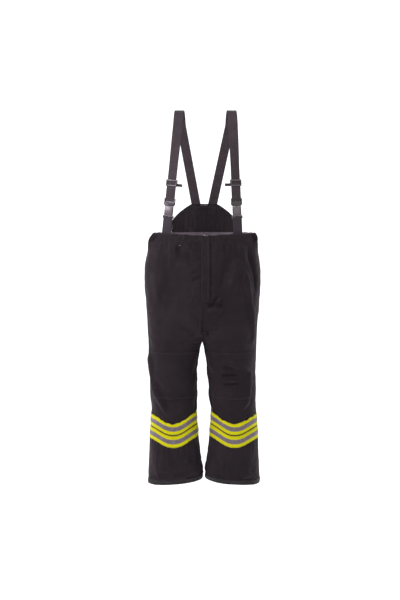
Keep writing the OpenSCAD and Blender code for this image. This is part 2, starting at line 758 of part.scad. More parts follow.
zip_tape(left);  // zip_tape_left
zip_teeth();
zip_stops();
zip_slider();
zip_pull();
brace_strap(right);  // brace_strap_right
brace_strap(left);  // brace_strap_left
adjuster(right);  // adjuster_right
adjuster(left);  // adjuster_left
webbing_loop(right);  // webbing_loop_right
webbing_loop(left);  // webbing_loop_left
webbing_tail(right);  // webbing_tail_right
webbing_tail(left);  // webbing_tail_left
buckle_male(right);  // buckle_male_right
buckle_male(left);  // buckle_male_left
buckle_female(right);  // buckle_female_right
buckle_female(left);  // buckle_female_left
prong(right, -1);  // prong_inner_right
prong(left, -1);  // prong_inner_left
prong(right, 1);  // prong_outer_right
prong(left, 1);  // prong_outer_left
brace_tab(right);  // brace_tab_right
brace_tab(left);  // brace_tab_left
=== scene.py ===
# %% [markdown]
# # Firefighter's over-trousers
# The trousers hang from two webbing braces. They are made here the way the garment is: shell panels
# first, then what is sewn on them, then the waist, the bib, the fly and the braces.
# The main heights, widths and joints are read from the imported frame; other sizes are numbers given in the
# script.

# %% Load the frame and keep its box
import bpy
import bmesh
import json
import math
import numpy as np
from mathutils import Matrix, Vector


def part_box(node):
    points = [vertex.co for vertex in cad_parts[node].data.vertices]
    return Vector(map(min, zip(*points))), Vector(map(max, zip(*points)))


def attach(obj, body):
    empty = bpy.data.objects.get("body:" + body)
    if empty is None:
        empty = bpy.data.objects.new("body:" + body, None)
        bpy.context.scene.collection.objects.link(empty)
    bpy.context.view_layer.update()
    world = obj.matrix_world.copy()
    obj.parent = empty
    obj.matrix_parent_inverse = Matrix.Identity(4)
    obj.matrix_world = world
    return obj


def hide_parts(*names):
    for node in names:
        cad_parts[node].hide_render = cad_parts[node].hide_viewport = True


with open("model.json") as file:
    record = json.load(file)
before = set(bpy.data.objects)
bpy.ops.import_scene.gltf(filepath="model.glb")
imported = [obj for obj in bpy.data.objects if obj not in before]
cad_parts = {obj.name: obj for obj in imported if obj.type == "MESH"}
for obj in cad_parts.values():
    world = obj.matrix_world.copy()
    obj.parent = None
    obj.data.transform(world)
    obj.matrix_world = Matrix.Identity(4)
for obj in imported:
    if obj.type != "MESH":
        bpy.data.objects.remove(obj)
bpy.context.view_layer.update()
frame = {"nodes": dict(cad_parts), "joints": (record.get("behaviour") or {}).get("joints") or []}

# %% [markdown]
# ## The body lines
# A worn pair of trousers is two tubes that merge into one at a curved crotch seam. The lines below
# read half widths from the frame at a few heights and join them with smooth cubics. Heights are
# counted from the hems, and a "turn" runs from -1 at the centre front, through 0 at the side seam,
# to 1 at the centre back. That gives every sewn piece an address on the cloth.

# %% Widths, heights and depths read from the frame
RIGHT, LEFT = -1, 1
SIDES = {"right": RIGHT, "left": LEFT}
hem_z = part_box("hem_guard_left")[0].z
waist_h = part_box("waistband_back")[1].z - hem_z
seam_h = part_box("waistband_back")[0].z - hem_z


def widest(node, height, reach=0.03):
    """The frame's largest |x| of a node near a height."""
    near = [abs(v.co.x) for v in frame["nodes"][node].data.vertices if abs(v.co.z - hem_z - height) < reach]
    return max(near)


hem_side = widest("outer_back_left", 0.0)
knee_side = widest("outer_back_left", 0.42)
hip_side = widest("outer_back_left", 0.918)
seam_side = widest("outer_back_left", seam_h, 0.01)
waist_side = widest("side_elastic_left", waist_h, 0.004) - 0.001
FLY_LEAN = 0.055  # how far the centre front leans out for each metre down
front_d = -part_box("waistband_front_left")[0].y - 0.001 - FLY_LEAN * (waist_h - seam_h)
back_d = 0.112
CROTCH_H = 0.630
FLY_FOOT_H = 0.815
FULLNESS = 2.3  # 2 is an ellipse, more is squarer
print(f"waist {waist_side:.3f} hips {hip_side:.3f} knees {knee_side:.3f} hems {hem_side:.3f}")
print(f"front face {front_d:.4f} from the middle")


def fly_depth(h):
    return front_d + (waist_h - h) * FLY_LEAN


side_line = [
    (0, hem_side), (0.170, hem_side - 0.005), (0.290, knee_side + 0.002), (0.390, knee_side),
    (0.540, knee_side + 0.002), (0.650, knee_side + 0.007), (0.790, hip_side - 0.003),
    (0.918, hip_side), (seam_h, seam_side), (waist_h, waist_side),
]
inner_line = [
    (0, 0.008), (0.090, 0.013), (0.170, 0.020), (0.290, 0.031), (0.370, 0.031), (0.450, 0.027),
    (0.540, 0.021), (0.600, 0.0105), (CROTCH_H, 0.0), (waist_h, 0.0),
]
front_line = [
    (0, 0.084), (0.220, 0.088), (0.380, 0.098), (0.540, 0.110), (CROTCH_H, 0.120),
    (0.700, fly_depth(0.700)), (0.790, fly_depth(0.790)), (waist_h, front_d),
]
back_line = [
    (0, 0.086), (0.220, 0.090), (0.380, 0.094), (0.540, 0.112), (CROTCH_H, 0.126), (0.790, 0.140),
    (0.918, 0.138), (seam_h, 0.118), (waist_h, back_d),
]
# The worn garment leans a little to the wearer's right, legs and hips
sway_line = [
    (0, 0.002), (0.100, 0.002), (0.290, 0.002), (0.370, 0.005), (0.450, 0.007), (0.540, 0.010),
    (0.650, 0.010),
    (0.790, 0.008), (0.918, 0.008), (seam_h, 0.006), (waist_h, 0.0),
]
SWAY_LEG_H, SWAY_FLY_H = 0.690, 0.800

# %% Cross-sections of the worn garment


def along(stations, h):
    """Smooth reading of a line at heights h."""
    x = np.array([s[0] for s in stations], float)
    y = np.array([s[1] for s in stations], float)
    m = np.gradient(y, x)
    m[1:-1] = (y[2:] - y[:-2]) / (x[2:] - x[:-2])
    h = np.asarray(h, float)
    i = np.clip(np.searchsorted(x, h, side="right") - 1, 0, len(x) - 2)
    span = x[i + 1] - x[i]
    s = np.clip((h - x[i]) / span, 0, 1)
    ends = y[i] * (1 + 2 * s) * (1 - s) ** 2 + y[i + 1] * s * s * (3 - 2 * s)
    return ends + span * (m[i] * s * (1 - s) ** 2 - m[i + 1] * s * s * (1 - s))


def soft(v, p):
    return np.sign(v) * np.abs(v) ** p


def section(h, turn, off=0.0, edge_x=0.0):
    """Points of one half of the garment on the wearer's left, as an array of x, y, height."""
    h, turn, off, edge_x = np.broadcast_arrays(*(np.asarray(v, float) for v in (h, turn, off, edge_x)))
    side, inner = along(side_line, h), along(inner_line, h)
    rise = np.where(turn < 0, 0.170, 0.230)
    open_share = np.clip(1 - (h - CROTCH_H) / rise, 0, 1)
    cx = np.where(h <= CROTCH_H, (side + inner) / 2, side / 2 * open_share ** 1.4)
    depth = np.where(turn < 0, along(front_line, h), along(back_line, h))
    c = np.clip((cx - edge_x) / (side - cx + off), -1, 1)
    a = np.abs(turn) * np.arccos(-soft(c, FULLNESS / 2))
    x = cx + (side - cx + off) * soft(np.cos(a), 2 / FULLNESS)
    y = np.where(turn < 0, -1, 1) * (depth + off) * soft(np.maximum(np.sin(a), 0), 2 / FULLNESS)
    return np.stack([x, y, h], -1)


def worn(points, side):
    """Puts half-garment points on their side, in the frame's place. The legs sway whole, and above
    them the middle stays under the straight fly while the sides still sway."""
    p = np.array(points, float)
    reach = np.clip(np.abs(p[..., 0]) / along(side_line, p[..., 2]), 0, 1.1)
    whole = np.clip((SWAY_FLY_H - p[..., 2]) / (SWAY_FLY_H - SWAY_LEG_H), 0, 1)
    whole = whole * whole * (3 - 2 * whole)
    share = whole + (1 - whole) * reach ** 2
    p[..., 0] = side * p[..., 0] - along(sway_line, p[..., 2]) * share
    p[..., 2] += hem_z
    return p


# %% [markdown]
# ## Shader maths as plain expressions
# A finish is easier to read as a formula than as a plan of boxes and wires. `Yarn` wraps one node
# socket, so `1 - mask` or `rib * 0.3 + grain` writes its own Math nodes. Everything that isn't plain
# number maths goes through `node`, which takes the kind, its settings and its inputs.

# %% A socket that can be calculated with


class Yarn:
    def __init__(self, tree, socket=None):
        self.tree = tree
        self.socket = socket

    def node(self, kind, settings=None, inputs=None, out=0):
        n = self.tree.nodes.new(kind)
        for key, value in (settings or {}).items():
            setattr(n, key, value)
        for key, value in (inputs or {}).items():
            if isinstance(value, Yarn):
                self.tree.links.new(value.socket, n.inputs[key])
            else:
                n.inputs[key].default_value = value
        return Yarn(self.tree, n.outputs[out])

    def sum(self, operation, *values):
        return self.node("ShaderNodeMath", {"operation": operation}, dict(enumerate(values)))

    def __add__(self, other):
        return self.sum("ADD", self, other)

    def __radd__(self, other):
        return self.sum("ADD", other, self)

    def __sub__(self, other):
        return self.sum("SUBTRACT", self, other)

    def __rsub__(self, other):
        return self.sum("SUBTRACT", other, self)

    def __mul__(self, other):
        return self.sum("MULTIPLY", self, other)

    def __rmul__(self, other):
        return self.sum("MULTIPLY", other, self)

    def sine(self):
        return self.sum("SINE", self)

    def absolute(self):
        return self.sum("ABSOLUTE", self)

    def ramp(self, low, high, start=0.0, end=1.0):
        """Smooth rise from start to end while this goes from low to high."""
        settings = {"interpolation_type": "SMOOTHSTEP"}
        return self.node("ShaderNodeMapRange", settings, {0: self, 1: low, 2: high, 3: start, 4: end})

    def mix(self, a, b):
        """Colour a where this is 0, and b where it is 1."""
        return self.node("ShaderNodeMix", {"data_type": "RGBA"}, {0: self, 6: a, 7: b}, out=2)

    def part(self, axis):
        return self.node("ShaderNodeSeparateXYZ", None, {0: self}, out=axis)


def rgb(r, g, b):
    return (r, g, b, 1.0)


FINISHES = {}


def finish(name, make, metallic=0.0, sheen=0.0, sheen_tint=(1, 1, 1), coat=0.0, specular=0.5,
           sheen_rough=0.4):
    """A material. Its make(yarn) returns colour, roughness, height and the height's depth in metres."""
    m = bpy.data.materials.new(name)
    m.use_nodes = True
    tree = m.node_tree
    shader = tree.nodes["Principled BSDF"]
    start = Yarn(tree)
    colour, rough, height, depth = make(start)
    for key, value in (("Base Color", colour), ("Roughness", rough)):
        if isinstance(value, Yarn):
            tree.links.new(value.socket, shader.inputs[key])
        else:
            shader.inputs[key].default_value = value
    if height is not None:
        bump = start.node("ShaderNodeBump", None, {"Height": height, "Distance": depth, "Strength": 0.7})
        tree.links.new(bump.socket, shader.inputs["Normal"])
    shader.inputs["Metallic"].default_value = metallic
    shader.inputs["Sheen Weight"].default_value = sheen
    shader.inputs["Sheen Roughness"].default_value = sheen_rough
    shader.inputs["Sheen Tint"].default_value = (*sheen_tint, 1)
    shader.inputs["Coat Weight"].default_value = coat
    shader.inputs["Specular IOR Level"].default_value = specular
    FINISHES[name] = m
    return m


# %% [markdown]
# ## Cloth finishes
# The shell is a navy-black aramid twill. Close up it has fine diagonal ribs; from a few steps away
# it shows only a soft lilac sheen, rubbed paler on raised folds, and a faint dusty unevenness.
# Weave patterns read the piece's own cloth coordinates, which are in metres, so the yarn keeps its
# true size on every piece.

# %% Helpers for woven finishes


def cloth_place(y):
    """The cloth's own coordinates, across and up, in metres."""
    place = y.node("ShaderNodeTexCoord", out=2)
    return place, place.part(0), place.part(1)


def cloudy(y, size, detail=3.0, rough=0.55):
    """Soft random patches about size metres across."""
    place = y.node("ShaderNodeTexCoord", out=3)
    settings = {"noise_dimensions": "3D"}
    return y.node("ShaderNodeTexNoise", settings,
                  {"Vector": place, "Scale": 1 / size, "Detail": detail, "Roughness": rough})


def twill(y, pitch):
    """Diagonal ribs and the yarns that cross them, from 0 to 1."""
    _, u, v = cloth_place(y)
    turn = 2 * math.pi / pitch
    rib = ((u + v) * turn).sine() * 0.5 + 0.5
    yarn = ((u - v * 0.35) * (turn * 1.7)).sine() * 0.5 + 0.5
    return rib * 0.7 + yarn * 0.3


def twill_cloth(dark, pale, dust, pitch=0.0011, rough=0.78):
    def make(y):
        weave = twill(y, pitch)
        patches = cloudy(y, 0.11).ramp(0.35, 0.7)
        fuzz = cloudy(y, 0.004, 2.0)
        worn_spots = cloudy(y, 0.035, 5.0, 0.65).ramp(0.56, 0.74)
        colour = patches.mix(rgb(*dark), rgb(*pale))
        colour = (worn_spots * 0.45).mix(colour, rgb(*dust))
        colour = (weave * 0.22).mix(colour, rgb(*dust))
        return colour, weave * -0.06 + fuzz * 0.14 + (rough - 0.05), weave + fuzz * 0.6, 0.0004
    return make


shell_cloth = finish(
    "shell_twill", twill_cloth((0.0092, 0.0056, 0.0078), (0.0150, 0.0092, 0.0132), (0.027, 0.0185, 0.024)),
    sheen=0.07, sheen_tint=(0.84, 0.60, 0.86), specular=0.25)
patch_cloth = finish(
    "knee_patch_twill", twill_cloth((0.0088, 0.0054, 0.0074), (0.0138, 0.0086, 0.0120),
                                    (0.025, 0.0175, 0.0225), 0.0016),
    sheen=0.06, sheen_tint=(0.84, 0.60, 0.86), specular=0.25)
cuff_cloth = finish(
    "hem_guard_cloth", twill_cloth((0.010, 0.0088, 0.0102), (0.014, 0.0122, 0.0142),
                                   (0.030, 0.027, 0.030), 0.0013, 0.6),
    sheen=0.05, coat=0.04, specular=0.25)
bib_cloth = finish(
    "bib_cloth", twill_cloth((0.0150, 0.0118, 0.0145), (0.0230, 0.0180, 0.0220), (0.044, 0.036, 0.042),
                             0.0012, 0.85),
    sheen=0.10, sheen_tint=(0.85, 0.72, 0.85), specular=0.25)
facing_cloth = finish(
    "facing_cloth", twill_cloth((0.150, 0.126, 0.152), (0.220, 0.188, 0.222), (0.30, 0.270, 0.305),
                                0.0013, 0.85),
    sheen=0.2)
underlap_cloth = finish(
    "underlap_cloth", twill_cloth((0.013, 0.0105, 0.0135), (0.018, 0.0145, 0.0185),
                                  (0.034, 0.029, 0.035)), sheen=0.2)
barrier_cloth = finish(
    "barrier_film", twill_cloth((0.42, 0.38, 0.26), (0.52, 0.48, 0.34), (0.6, 0.57, 0.45), 0.0009,
                                0.5), coat=0.25)
liner_cloth = finish(
    "liner_quilt", twill_cloth((0.40, 0.27, 0.05), (0.50, 0.36, 0.08), (0.62, 0.50, 0.20), 0.0010,
                               0.85), sheen=0.35)

# %% [markdown]
# ## Tape, webbing and thread finishes
# The trim is a fluorescent lime tape with a silver retroreflective strip. The silver is a coat of
# tiny glass beads: grey and slightly lilac by day, with a fine beaded grain. Webbing is woven in
# ribs that run along its length, and its two edges are thicker.

# %% Trim, webbing, thread


def lime_tape(y):
    _, u, v = cloth_place(y)
    ribs = (v * (2 * math.pi / 0.0016)).sine() * 0.5 + 0.5
    ticks = (u * (2 * math.pi / 0.0022)).sine() * 0.5 + 0.5
    grime = cloudy(y, 0.05, 5.0).ramp(0.5, 0.78)
    colour = (grime * 0.30).mix(rgb(0.66, 0.64, 0.002), rgb(0.46, 0.44, 0.004))
    colour = ((1 - ribs) * 0.15).mix(colour, rgb(0.42, 0.41, 0.004))
    return colour, 0.62 - ribs * 0.06, ribs * 0.6 + ticks * 0.4, 0.0003


def silver_tape(y):
    _, u, v = cloth_place(y)
    beads = cloudy(y, 0.0016, 2.0)
    creases = cloudy(y, 0.018, 6.0, 0.7).ramp(0.46, 0.66)
    lattice = ((u + v) * (2 * math.pi / 0.0035)).sine() * ((u - v) * (2 * math.pi / 0.0035)).sine()
    colour = creases.mix(rgb(0.150, 0.124, 0.160), rgb(0.215, 0.184, 0.215))
    colour = (beads.ramp(0.5, 0.75) * 0.35).mix(colour, rgb(0.33, 0.29, 0.33))
    return colour, 0.5 - creases * 0.12, beads * 0.6 + lattice * 0.4, 0.0003


def webbing_ribs(dark, pale):
    def make(y):
        _, u, v = cloth_place(y)
        ribs = (u * (2 * math.pi / 0.0038)).sine() * 0.5 + 0.5
        zig = ((u * (2 * math.pi / 0.0038)).sine().absolute() * 0.0016 + v) * (2 * math.pi / 0.0026)
        picks = zig.sine() * 0.5 + 0.5
        patches = cloudy(y, 0.03, 4.0).ramp(0.4, 0.7)
        colour = (picks * 0.55).mix(rgb(*dark), rgb(*pale))
        colour = (patches * 0.25).mix(colour, rgb(*pale))
        return colour, 0.66 - picks * 0.1, ribs * 0.5 + picks * 0.5, 0.0006
    return make


def thread(colour_a, colour_b):
    def make(y):
        twist = cloudy(y, 0.002, 1.0)
        return twist.mix(rgb(*colour_a), rgb(*colour_b)), 0.6, twist, 0.0002
    return make


lime_trim = finish("lime_tape", lime_tape, specular=0.15)
silver_trim = finish("silver_tape", silver_tape, metallic=0.25, sheen=0.04)
webbing = finish("black_webbing", webbing_ribs((0.024, 0.0175, 0.0210), (0.072, 0.054, 0.062)),
                 sheen=0.08, specular=0.3)
tab_webbing = finish("tab_webbing", webbing_ribs((0.020, 0.0155, 0.0215), (0.048, 0.038, 0.050)),
                     sheen=0.08, specular=0.3)
navy_thread = finish("navy_thread", thread((0.030, 0.025, 0.033), (0.055, 0.047, 0.058)))
pale_thread = finish("lime_thread", thread((0.45, 0.43, 0.02), (0.6, 0.57, 0.04)))
hook_tape = finish("hook_tape", lambda y: (
    cloudy(y, 0.0018, 2.0).mix(rgb(0.008, 0.008, 0.009), rgb(0.03, 0.03, 0.033)), 0.9,
    cloudy(y, 0.0012), 0.0008))
zip_cloth = finish("zip_cloth",
                   twill_cloth((0.01, 0.01, 0.011), (0.015, 0.015, 0.016), (0.03, 0.03, 0.03), 0.0008))

# %% [markdown]
# ## Hardware finishes
# The buckles and adjusters are moulded acetal, black with a satin skin that is scuffed paler where
# it rubs. The buckle cases and adjuster bars have a greyer base and paler patches, which are partly
# painted highlight of the glossy plastic. The zip is brass with a dull steel slider.

# %% Plastic and metal


def moulded(dark, scuff_and_highlight_colour, rough):
    def make(y):
        grain = cloudy(y, 0.0009, 2.0)
        # Pale patches: real scuffs on the black blocks, and partly painted highlight on the cases and bars
        scuff_and_highlight_mask = cloudy(y, 0.006, 6.0, 0.7).ramp(0.55, 0.72)
        return (scuff_and_highlight_mask * 0.6).mix(rgb(*dark),
                                  rgb(*scuff_and_highlight_colour)), scuff_and_highlight_mask * 0.2 + rough, grain * 0.4 + scuff_and_highlight_mask * 0.6, 0.0002
    return make


def dull_metal(dark, pale, rough):
    def make(y):
        tarnish = cloudy(y, 0.005, 5.0, 0.6).ramp(0.4, 0.66)
        return tarnish.mix(rgb(*pale), rgb(*dark)), tarnish * 0.2 + rough, tarnish, 0.0001
    return make


block_plastic = finish("adjuster_plastic", moulded((0.018, 0.016, 0.019), (0.085, 0.08, 0.085), 0.38),
                       coat=0.15)
# The case's grey base and pale patches: moulded colour and scuffs, partly painted highlight of glossy
# plastic
case_plastic = finish("case_plastic", moulded((0.085, 0.072, 0.080), (0.24, 0.21, 0.225), 0.34), coat=0.25)
# The bar's pale patches: scuffs, partly painted highlight of glossy plastic
bar_plastic_painted_highlight = finish("bar_plastic_painted_highlight", moulded((0.050, 0.044, 0.048), (0.30, 0.27, 0.285), 0.36), coat=0.25)
zip_brass = finish("zip_brass", dull_metal((0.22, 0.15, 0.06), (0.55, 0.42, 0.2), 0.35), metallic=1.0)
slider_metal = finish("slider_metal", dull_metal((0.2, 0.2, 0.21), (0.5, 0.5, 0.52), 0.32), metallic=1.0)
print("finishes:", len(FINISHES))

# %% [markdown]
# ## Turning grids of points into cloth
# Nearly every soft piece is a rectangle of cloth bent over the body, so one maker serves them all:
# it takes a grid of outer points and a grid of inner points, closes the four edges and writes cloth
# coordinates in metres. A closed skin has no stray faces and a real thickness at every edge.

# %% Cloth from grids


def place_piece(name, mesh, material, body="trousers", replaces=(), slot=None):
    obj = bpy.data.objects.new(name, mesh)
    bpy.context.scene.collection.objects.link(obj)
    if material is not None:
        mesh.materials.clear()
        mesh.materials.append(material)
    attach(obj, body)
    if replaces:
        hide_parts(*replaces)
    return obj


def skin_arrays(outer, inner):
    """Vertices and quads of a closed skin between two equal grids."""
    m, n = outer.shape[:2]
    verts = np.concatenate([outer.reshape(-1, 3), inner.reshape(-1, 3)])
    o = np.arange(m * n).reshape(m, n)
    q = o + m * n
    a, b, c, d = o[:-1, :-1], o[:-1, 1:], o[1:, 1:], o[1:, :-1]
    quads = [np.stack([a, b, c, d], -1).reshape(-1, 4), np.stack([d, c, b, a], -1).reshape(-1, 4) + m * n]
    for x, y in ((o[0], q[0]), (o[-1][::-1], q[-1][::-1]), (o[:, 0][::-1], q[:, 0][::-1]),
                 (o[:, -1], q[:, -1])):
        quads.append(np.stack([x[1:], x[:-1], y[:-1], y[1:]], -1))
    return verts, np.concatenate(quads)


def mesh_from(name, verts, faces, uv=None):
    """A smooth-shaded mesh, with cloth coordinates if they are given."""
    mesh = bpy.data.meshes.new(name)
    mesh.from_pydata([tuple(v) for v in np.asarray(verts, float)], [],
                     [tuple(int(i) for i in f) for f in faces])
    if uv is not None:
        layer = mesh.uv_layers.new(name="cloth")
        loops = np.zeros(len(mesh.loops), np.int32)
        mesh.loops.foreach_get("vertex_index", loops)
        layer.data.foreach_set("uv", np.asarray(uv, np.float32)[loops].ravel())
    mesh.polygons.foreach_set("use_smooth", [True] * len(mesh.polygons))
    mesh.update()
    return mesh


CREASE_ANGLE = 0.9  # edges that turn further than this, in radians, stay crisp


def cloth_skin(name, outer, inner, uv_grid, material, **place):
    """A closed skin of cloth as one piece. Grids are rows of points from low to high."""
    verts, faces = skin_arrays(np.asarray(outer), np.asarray(inner))
    uv = np.concatenate([uv_grid.reshape(-1, 2)] * 2)
    mesh = mesh_from(name, verts, faces, uv)
    bm = bmesh.new()
    bm.from_mesh(mesh)
    bmesh.ops.recalc_face_normals(bm, faces=bm.faces)
    for e in bm.edges:
        if len(e.link_faces) == 2 and e.calc_face_angle(0) > CREASE_ANGLE:
            e.smooth = False
    bm.to_mesh(mesh)
    bm.free()
    return place_piece(name, mesh, material, **place)


def grid_normals(g):
    """Unit normals of a grid of points, pointing away from the body on the left half."""
    du = np.gradient(g, axis=1)
    dv = np.gradient(g, axis=0)
    n = np.cross(du, dv)
    return n / np.maximum(np.linalg.norm(n, axis=-1, keepdims=True), 1e-9)


# %% [markdown]
# ## The shell, draped
# Heavy turnout cloth hangs in broad soft folds with sharp little tugs where it is held: under the
# waistband, at the fly's foot, behind the knees and above the trim. The main folds are placed as
# ridges and hollows between two points on the cloth. Then Blender's cloth solver lets the
# whole shell settle for a few steps, cut a touch too long, so it buckles a little between seams
# the way real cloth does.

# %% Folds as ridges between two addresses
ROWS, COLUMNS = 118, 89
HEM_LIFT, HEM_REACH = 0.020, 0.170
heights = np.linspace(0, seam_h, ROWS)
turns = np.linspace(-1, 1, COLUMNS)


def leg_angle(turn):
    return np.abs(turn) * np.pi


def hem_rise(h, turn):
    return HEM_LIFT * (1 - np.cos(leg_angle(turn))) / 2 * np.clip(1 - h / HEM_REACH, 0, 1)


def front_turn(x, h):
    """The turn at which the front of the cloth passes distance x from the middle plane."""
    side, inner = along(side_line, h), along(inner_line, h)
    share = np.clip(1 - (h - CROTCH_H) / 0.170, 0, 1)
    cx = np.where(h <= CROTCH_H, (side + inner) / 2, side / 2 * share ** 1.4)
    full = np.arccos(-np.clip(soft(np.clip(cx / (side - cx), -1, 1), FULLNESS / 2), -1, 1))
    a = np.arccos(np.clip(soft(np.clip((x - cx) / (side - cx), -1, 1), FULLNESS / 2), -1, 1))
    return -float(a / full)


# Folds of the front: side, start (x, height), end (x, height), width and proud height, all metres
FRONT_FOLDS = [
    (RIGHT, (0.112, 1.040), (0.044, 0.950), 0.015, -0.0055),
    (RIGHT, (0.086, 1.046), (0.030, 0.985), 0.012, 0.0050),
    (RIGHT, (0.140, 1.046), (0.118, 0.985), 0.014, 0.0045),
    (RIGHT, (0.050, 0.926), (0.018, 0.934), 0.006, -0.0026),
    (RIGHT, (0.052, 0.896), (0.018, 0.902), 0.006, -0.0024),
    (RIGHT, (0.048, 0.912), (0.018, 0.918), 0.006, 0.0022),
    (RIGHT, (0.175, 1.030), (0.190, 0.780), 0.030, 0.0045),
    (RIGHT, (0.150, 0.900), (0.165, 0.640), 0.034, -0.0035),
    (RIGHT, (0.224, 0.575), (0.214, 0.450), 0.013, 0.0065),
    (RIGHT, (0.214, 0.452), (0.163, 0.330), 0.012, 0.0065),
    (RIGHT, (0.200, 0.470), (0.148, 0.345), 0.014, -0.0050),
    (RIGHT, (0.006, 0.640), (0.095, 0.705), 0.014, -0.0055),
    (RIGHT, (0.006, 0.668), (0.070, 0.765), 0.014, 0.0040),
    (RIGHT, (0.110, 0.600), (0.120, 0.470), 0.030, 0.0035),
    (RIGHT, (0.060, 0.420), (0.130, 0.392), 0.010, -0.0030),
    (RIGHT, (0.050, 0.500), (0.120, 0.470), 0.016, 0.0028),
    (LEFT, (0.014, 0.786), (0.088, 0.789), 0.0070, -0.0065),
    (LEFT, (0.002, 0.768), (0.094, 0.770), 0.0090, 0.0062),
    (LEFT, (0.029, 0.798), (0.027, 0.838), 0.0055, 0.0030),
    (LEFT, (0.044, 0.797), (0.043, 0.832), 0.0055, -0.0032),
    (LEFT, (0.058, 0.800), (0.062, 0.826), 0.0060, 0.0028),
    (LEFT, (0.106, 0.985), (0.062, 0.862), 0.018, -0.0050),
    (LEFT, (0.150, 0.990), (0.100, 0.830), 0.020, 0.0042),
    (LEFT, (0.165, 0.940), (0.205, 0.790), 0.013, 0.0068),
    (LEFT, (0.205, 0.792), (0.214, 0.630), 0.013, 0.0058),
    (LEFT, (0.188, 1.020), (0.224, 0.850), 0.014, -0.0062),
    (LEFT, (0.150, 1.046), (0.176, 0.960), 0.014, 0.0050),
    (LEFT, (0.006, 0.650), (0.080, 0.700), 0.014, -0.0050),
    (LEFT, (0.047, 0.512), (0.109, 0.553), 0.0085, 0.0056),
    (LEFT, (0.109, 0.553), (0.200, 0.510), 0.0085, 0.0056),
    (LEFT, (0.088, 0.490), (0.156, 0.491), 0.0075, -0.0066),
    (LEFT, (0.090, 0.473), (0.162, 0.474), 0.0065, 0.0050),
    (LEFT, (0.092, 0.458), (0.156, 0.458), 0.0065, -0.0042),
    (LEFT, (0.100, 0.530), (0.150, 0.520), 0.0080, -0.0040),
    (LEFT, (0.204, 0.505), (0.194, 0.385), 0.0090, 0.0056),
    (LEFT, (0.194, 0.386), (0.166, 0.345), 0.0090, 0.0042),
    (LEFT, (0.060, 0.585), (0.130, 0.600), 0.012, 0.0034),
    (LEFT, (0.060, 0.430), (0.120, 0.400), 0.014, -0.0030),
]
# Folds of the back: side, start (turn, height), end (turn, height), width and proud height
BACK_FOLDS = [
    (RIGHT, (0.96, 0.690), (0.55, 0.830), 0.016, -0.0060),
    (LEFT, (0.96, 0.690), (0.52, 0.815), 0.016, -0.0060),
    (RIGHT, (0.97, 0.730), (0.60, 0.900), 0.016, 0.0050),
    (LEFT, (0.97, 0.725), (0.62, 0.885), 0.015, 0.0050),
    (RIGHT, (0.35, 0.470), (0.78, 0.455), 0.010, -0.0055),
    (LEFT, (0.32, 0.462), (0.75, 0.470), 0.010, -0.0055),
    (RIGHT, (0.30, 0.500), (0.72, 0.492), 0.010, 0.0050),
    (LEFT, (0.35, 0.505), (0.76, 0.512), 0.010, 0.0050),
    (RIGHT, (0.38, 0.430), (0.70, 0.418), 0.010, 0.0042),
    (LEFT, (0.36, 0.424), (0.72, 0.435), 0.010, 0.0042),
    (RIGHT, (0.20, 1.030), (0.30, 0.820), 0.024, 0.0045),
    (LEFT, (0.18, 1.030), (0.27, 0.800), 0.024, 0.0045),
    (RIGHT, (0.70, 1.040), (0.64, 0.930), 0.016, -0.0040),
    (LEFT, (0.66, 1.040), (0.62, 0.940), 0.016, -0.0040),
    (RIGHT, (0.50, 0.640), (0.58, 0.540), 0.020, 0.0040),
    (LEFT, (0.46, 0.650), (0.55, 0.545), 0.020, 0.0040),
]
CLOTH_SPAN = 0.32  # metres of cloth from the side seam to the middle, near enough for measuring folds


def fold(turn, h, start, end, width, proud):
    """Height of one fold at each address of the cloth."""
    a = np.array([start[0] * CLOTH_SPAN, start[1]])
    b = np.array([end[0] * CLOTH_SPAN, end[1]])
    d = b - a
    length = float(np.hypot(*d))
    px, py = turn * CLOTH_SPAN - a[0], h - a[1]
    along_it = (px * d[0] + py * d[1]) / length
    across = np.abs(px * d[1] - py * d[0]) / length
    t = along_it / length
    bend = 0.35 * width * np.sin(np.clip(t, 0, 1) * np.pi * 1.5)
    taper = np.clip((t + 0.12) / 0.3, 0, 1) * np.clip((1.12 - t) / 0.3, 0, 1)
    taper = taper * taper * (3 - 2 * taper)
    return proud * taper * np.exp(-((across - bend) / width) ** 2)


rng = np.random.default_rng(7)


def ripples(turn, h, count, wave_low, wave_high, height):
    """Gentle random swell: a seeded sum of waves in all directions."""
    total = np.zeros_like(turn)
    for _ in range(count):
        wave = rng.uniform(wave_low, wave_high)
        heading, phase = rng.uniform(0, np.pi), rng.uniform(0, 2 * np.pi)
        total += np.sin((turn * CLOTH_SPAN * np.cos(heading) + h * np.sin(heading)) * 2 * np.pi / wave
                        + phase)
    return total * height / math.sqrt(count)


def gathers(turn, h, side):
    """Little vertical tucks that the waistband's elastic pulls into the cloth under it."""
    near_top = np.clip(1 - (seam_h - h) / 0.075, 0, 1) ** 2
    at_side = np.exp(-(turn / 0.30) ** 4) + 0.35
    lean = np.sin(turn * 13 + side) * 0.5
    return 0.0022 * near_top * at_side * np.sin(turn * 88 + lean + (seam_h - h) * 18)


def pull_at_trim(turn, h):
    """Puckers where the trim's stitching gathers the cloth, above and below both bands."""
    mid = trim_mid(turn)
    away = np.abs(h - mid) - trim_half
    near = np.exp(-(np.clip(away, 0, 1) / 0.016) ** 2) * np.clip(away / 0.004, 0, 1)
    return near * (0.0011 * np.sin(turn * 47 + 1.3) + 0.0009 * np.sin(turn * 83))


trim_box = [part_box("lower_trim_left")[0].z - hem_z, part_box("upper_trim_left")[1].z - hem_z]
TRIM_W, TRIM_GAP, SILVER_W = 0.050, 0.005, 0.020
TRIM_SIDE_H, TRIM_RISE, TRIM_DIP = 0.254, 0.008, 0.033
DIP_ROUND, DIP_SHARP = 1.9, 2.6  # how round the dip's foot is, and how straight its two sides are
trim_half = TRIM_W + TRIM_GAP / 2
print(f"trim from {trim_box[0]:.3f} to {trim_box[1]:.3f} above the hems")


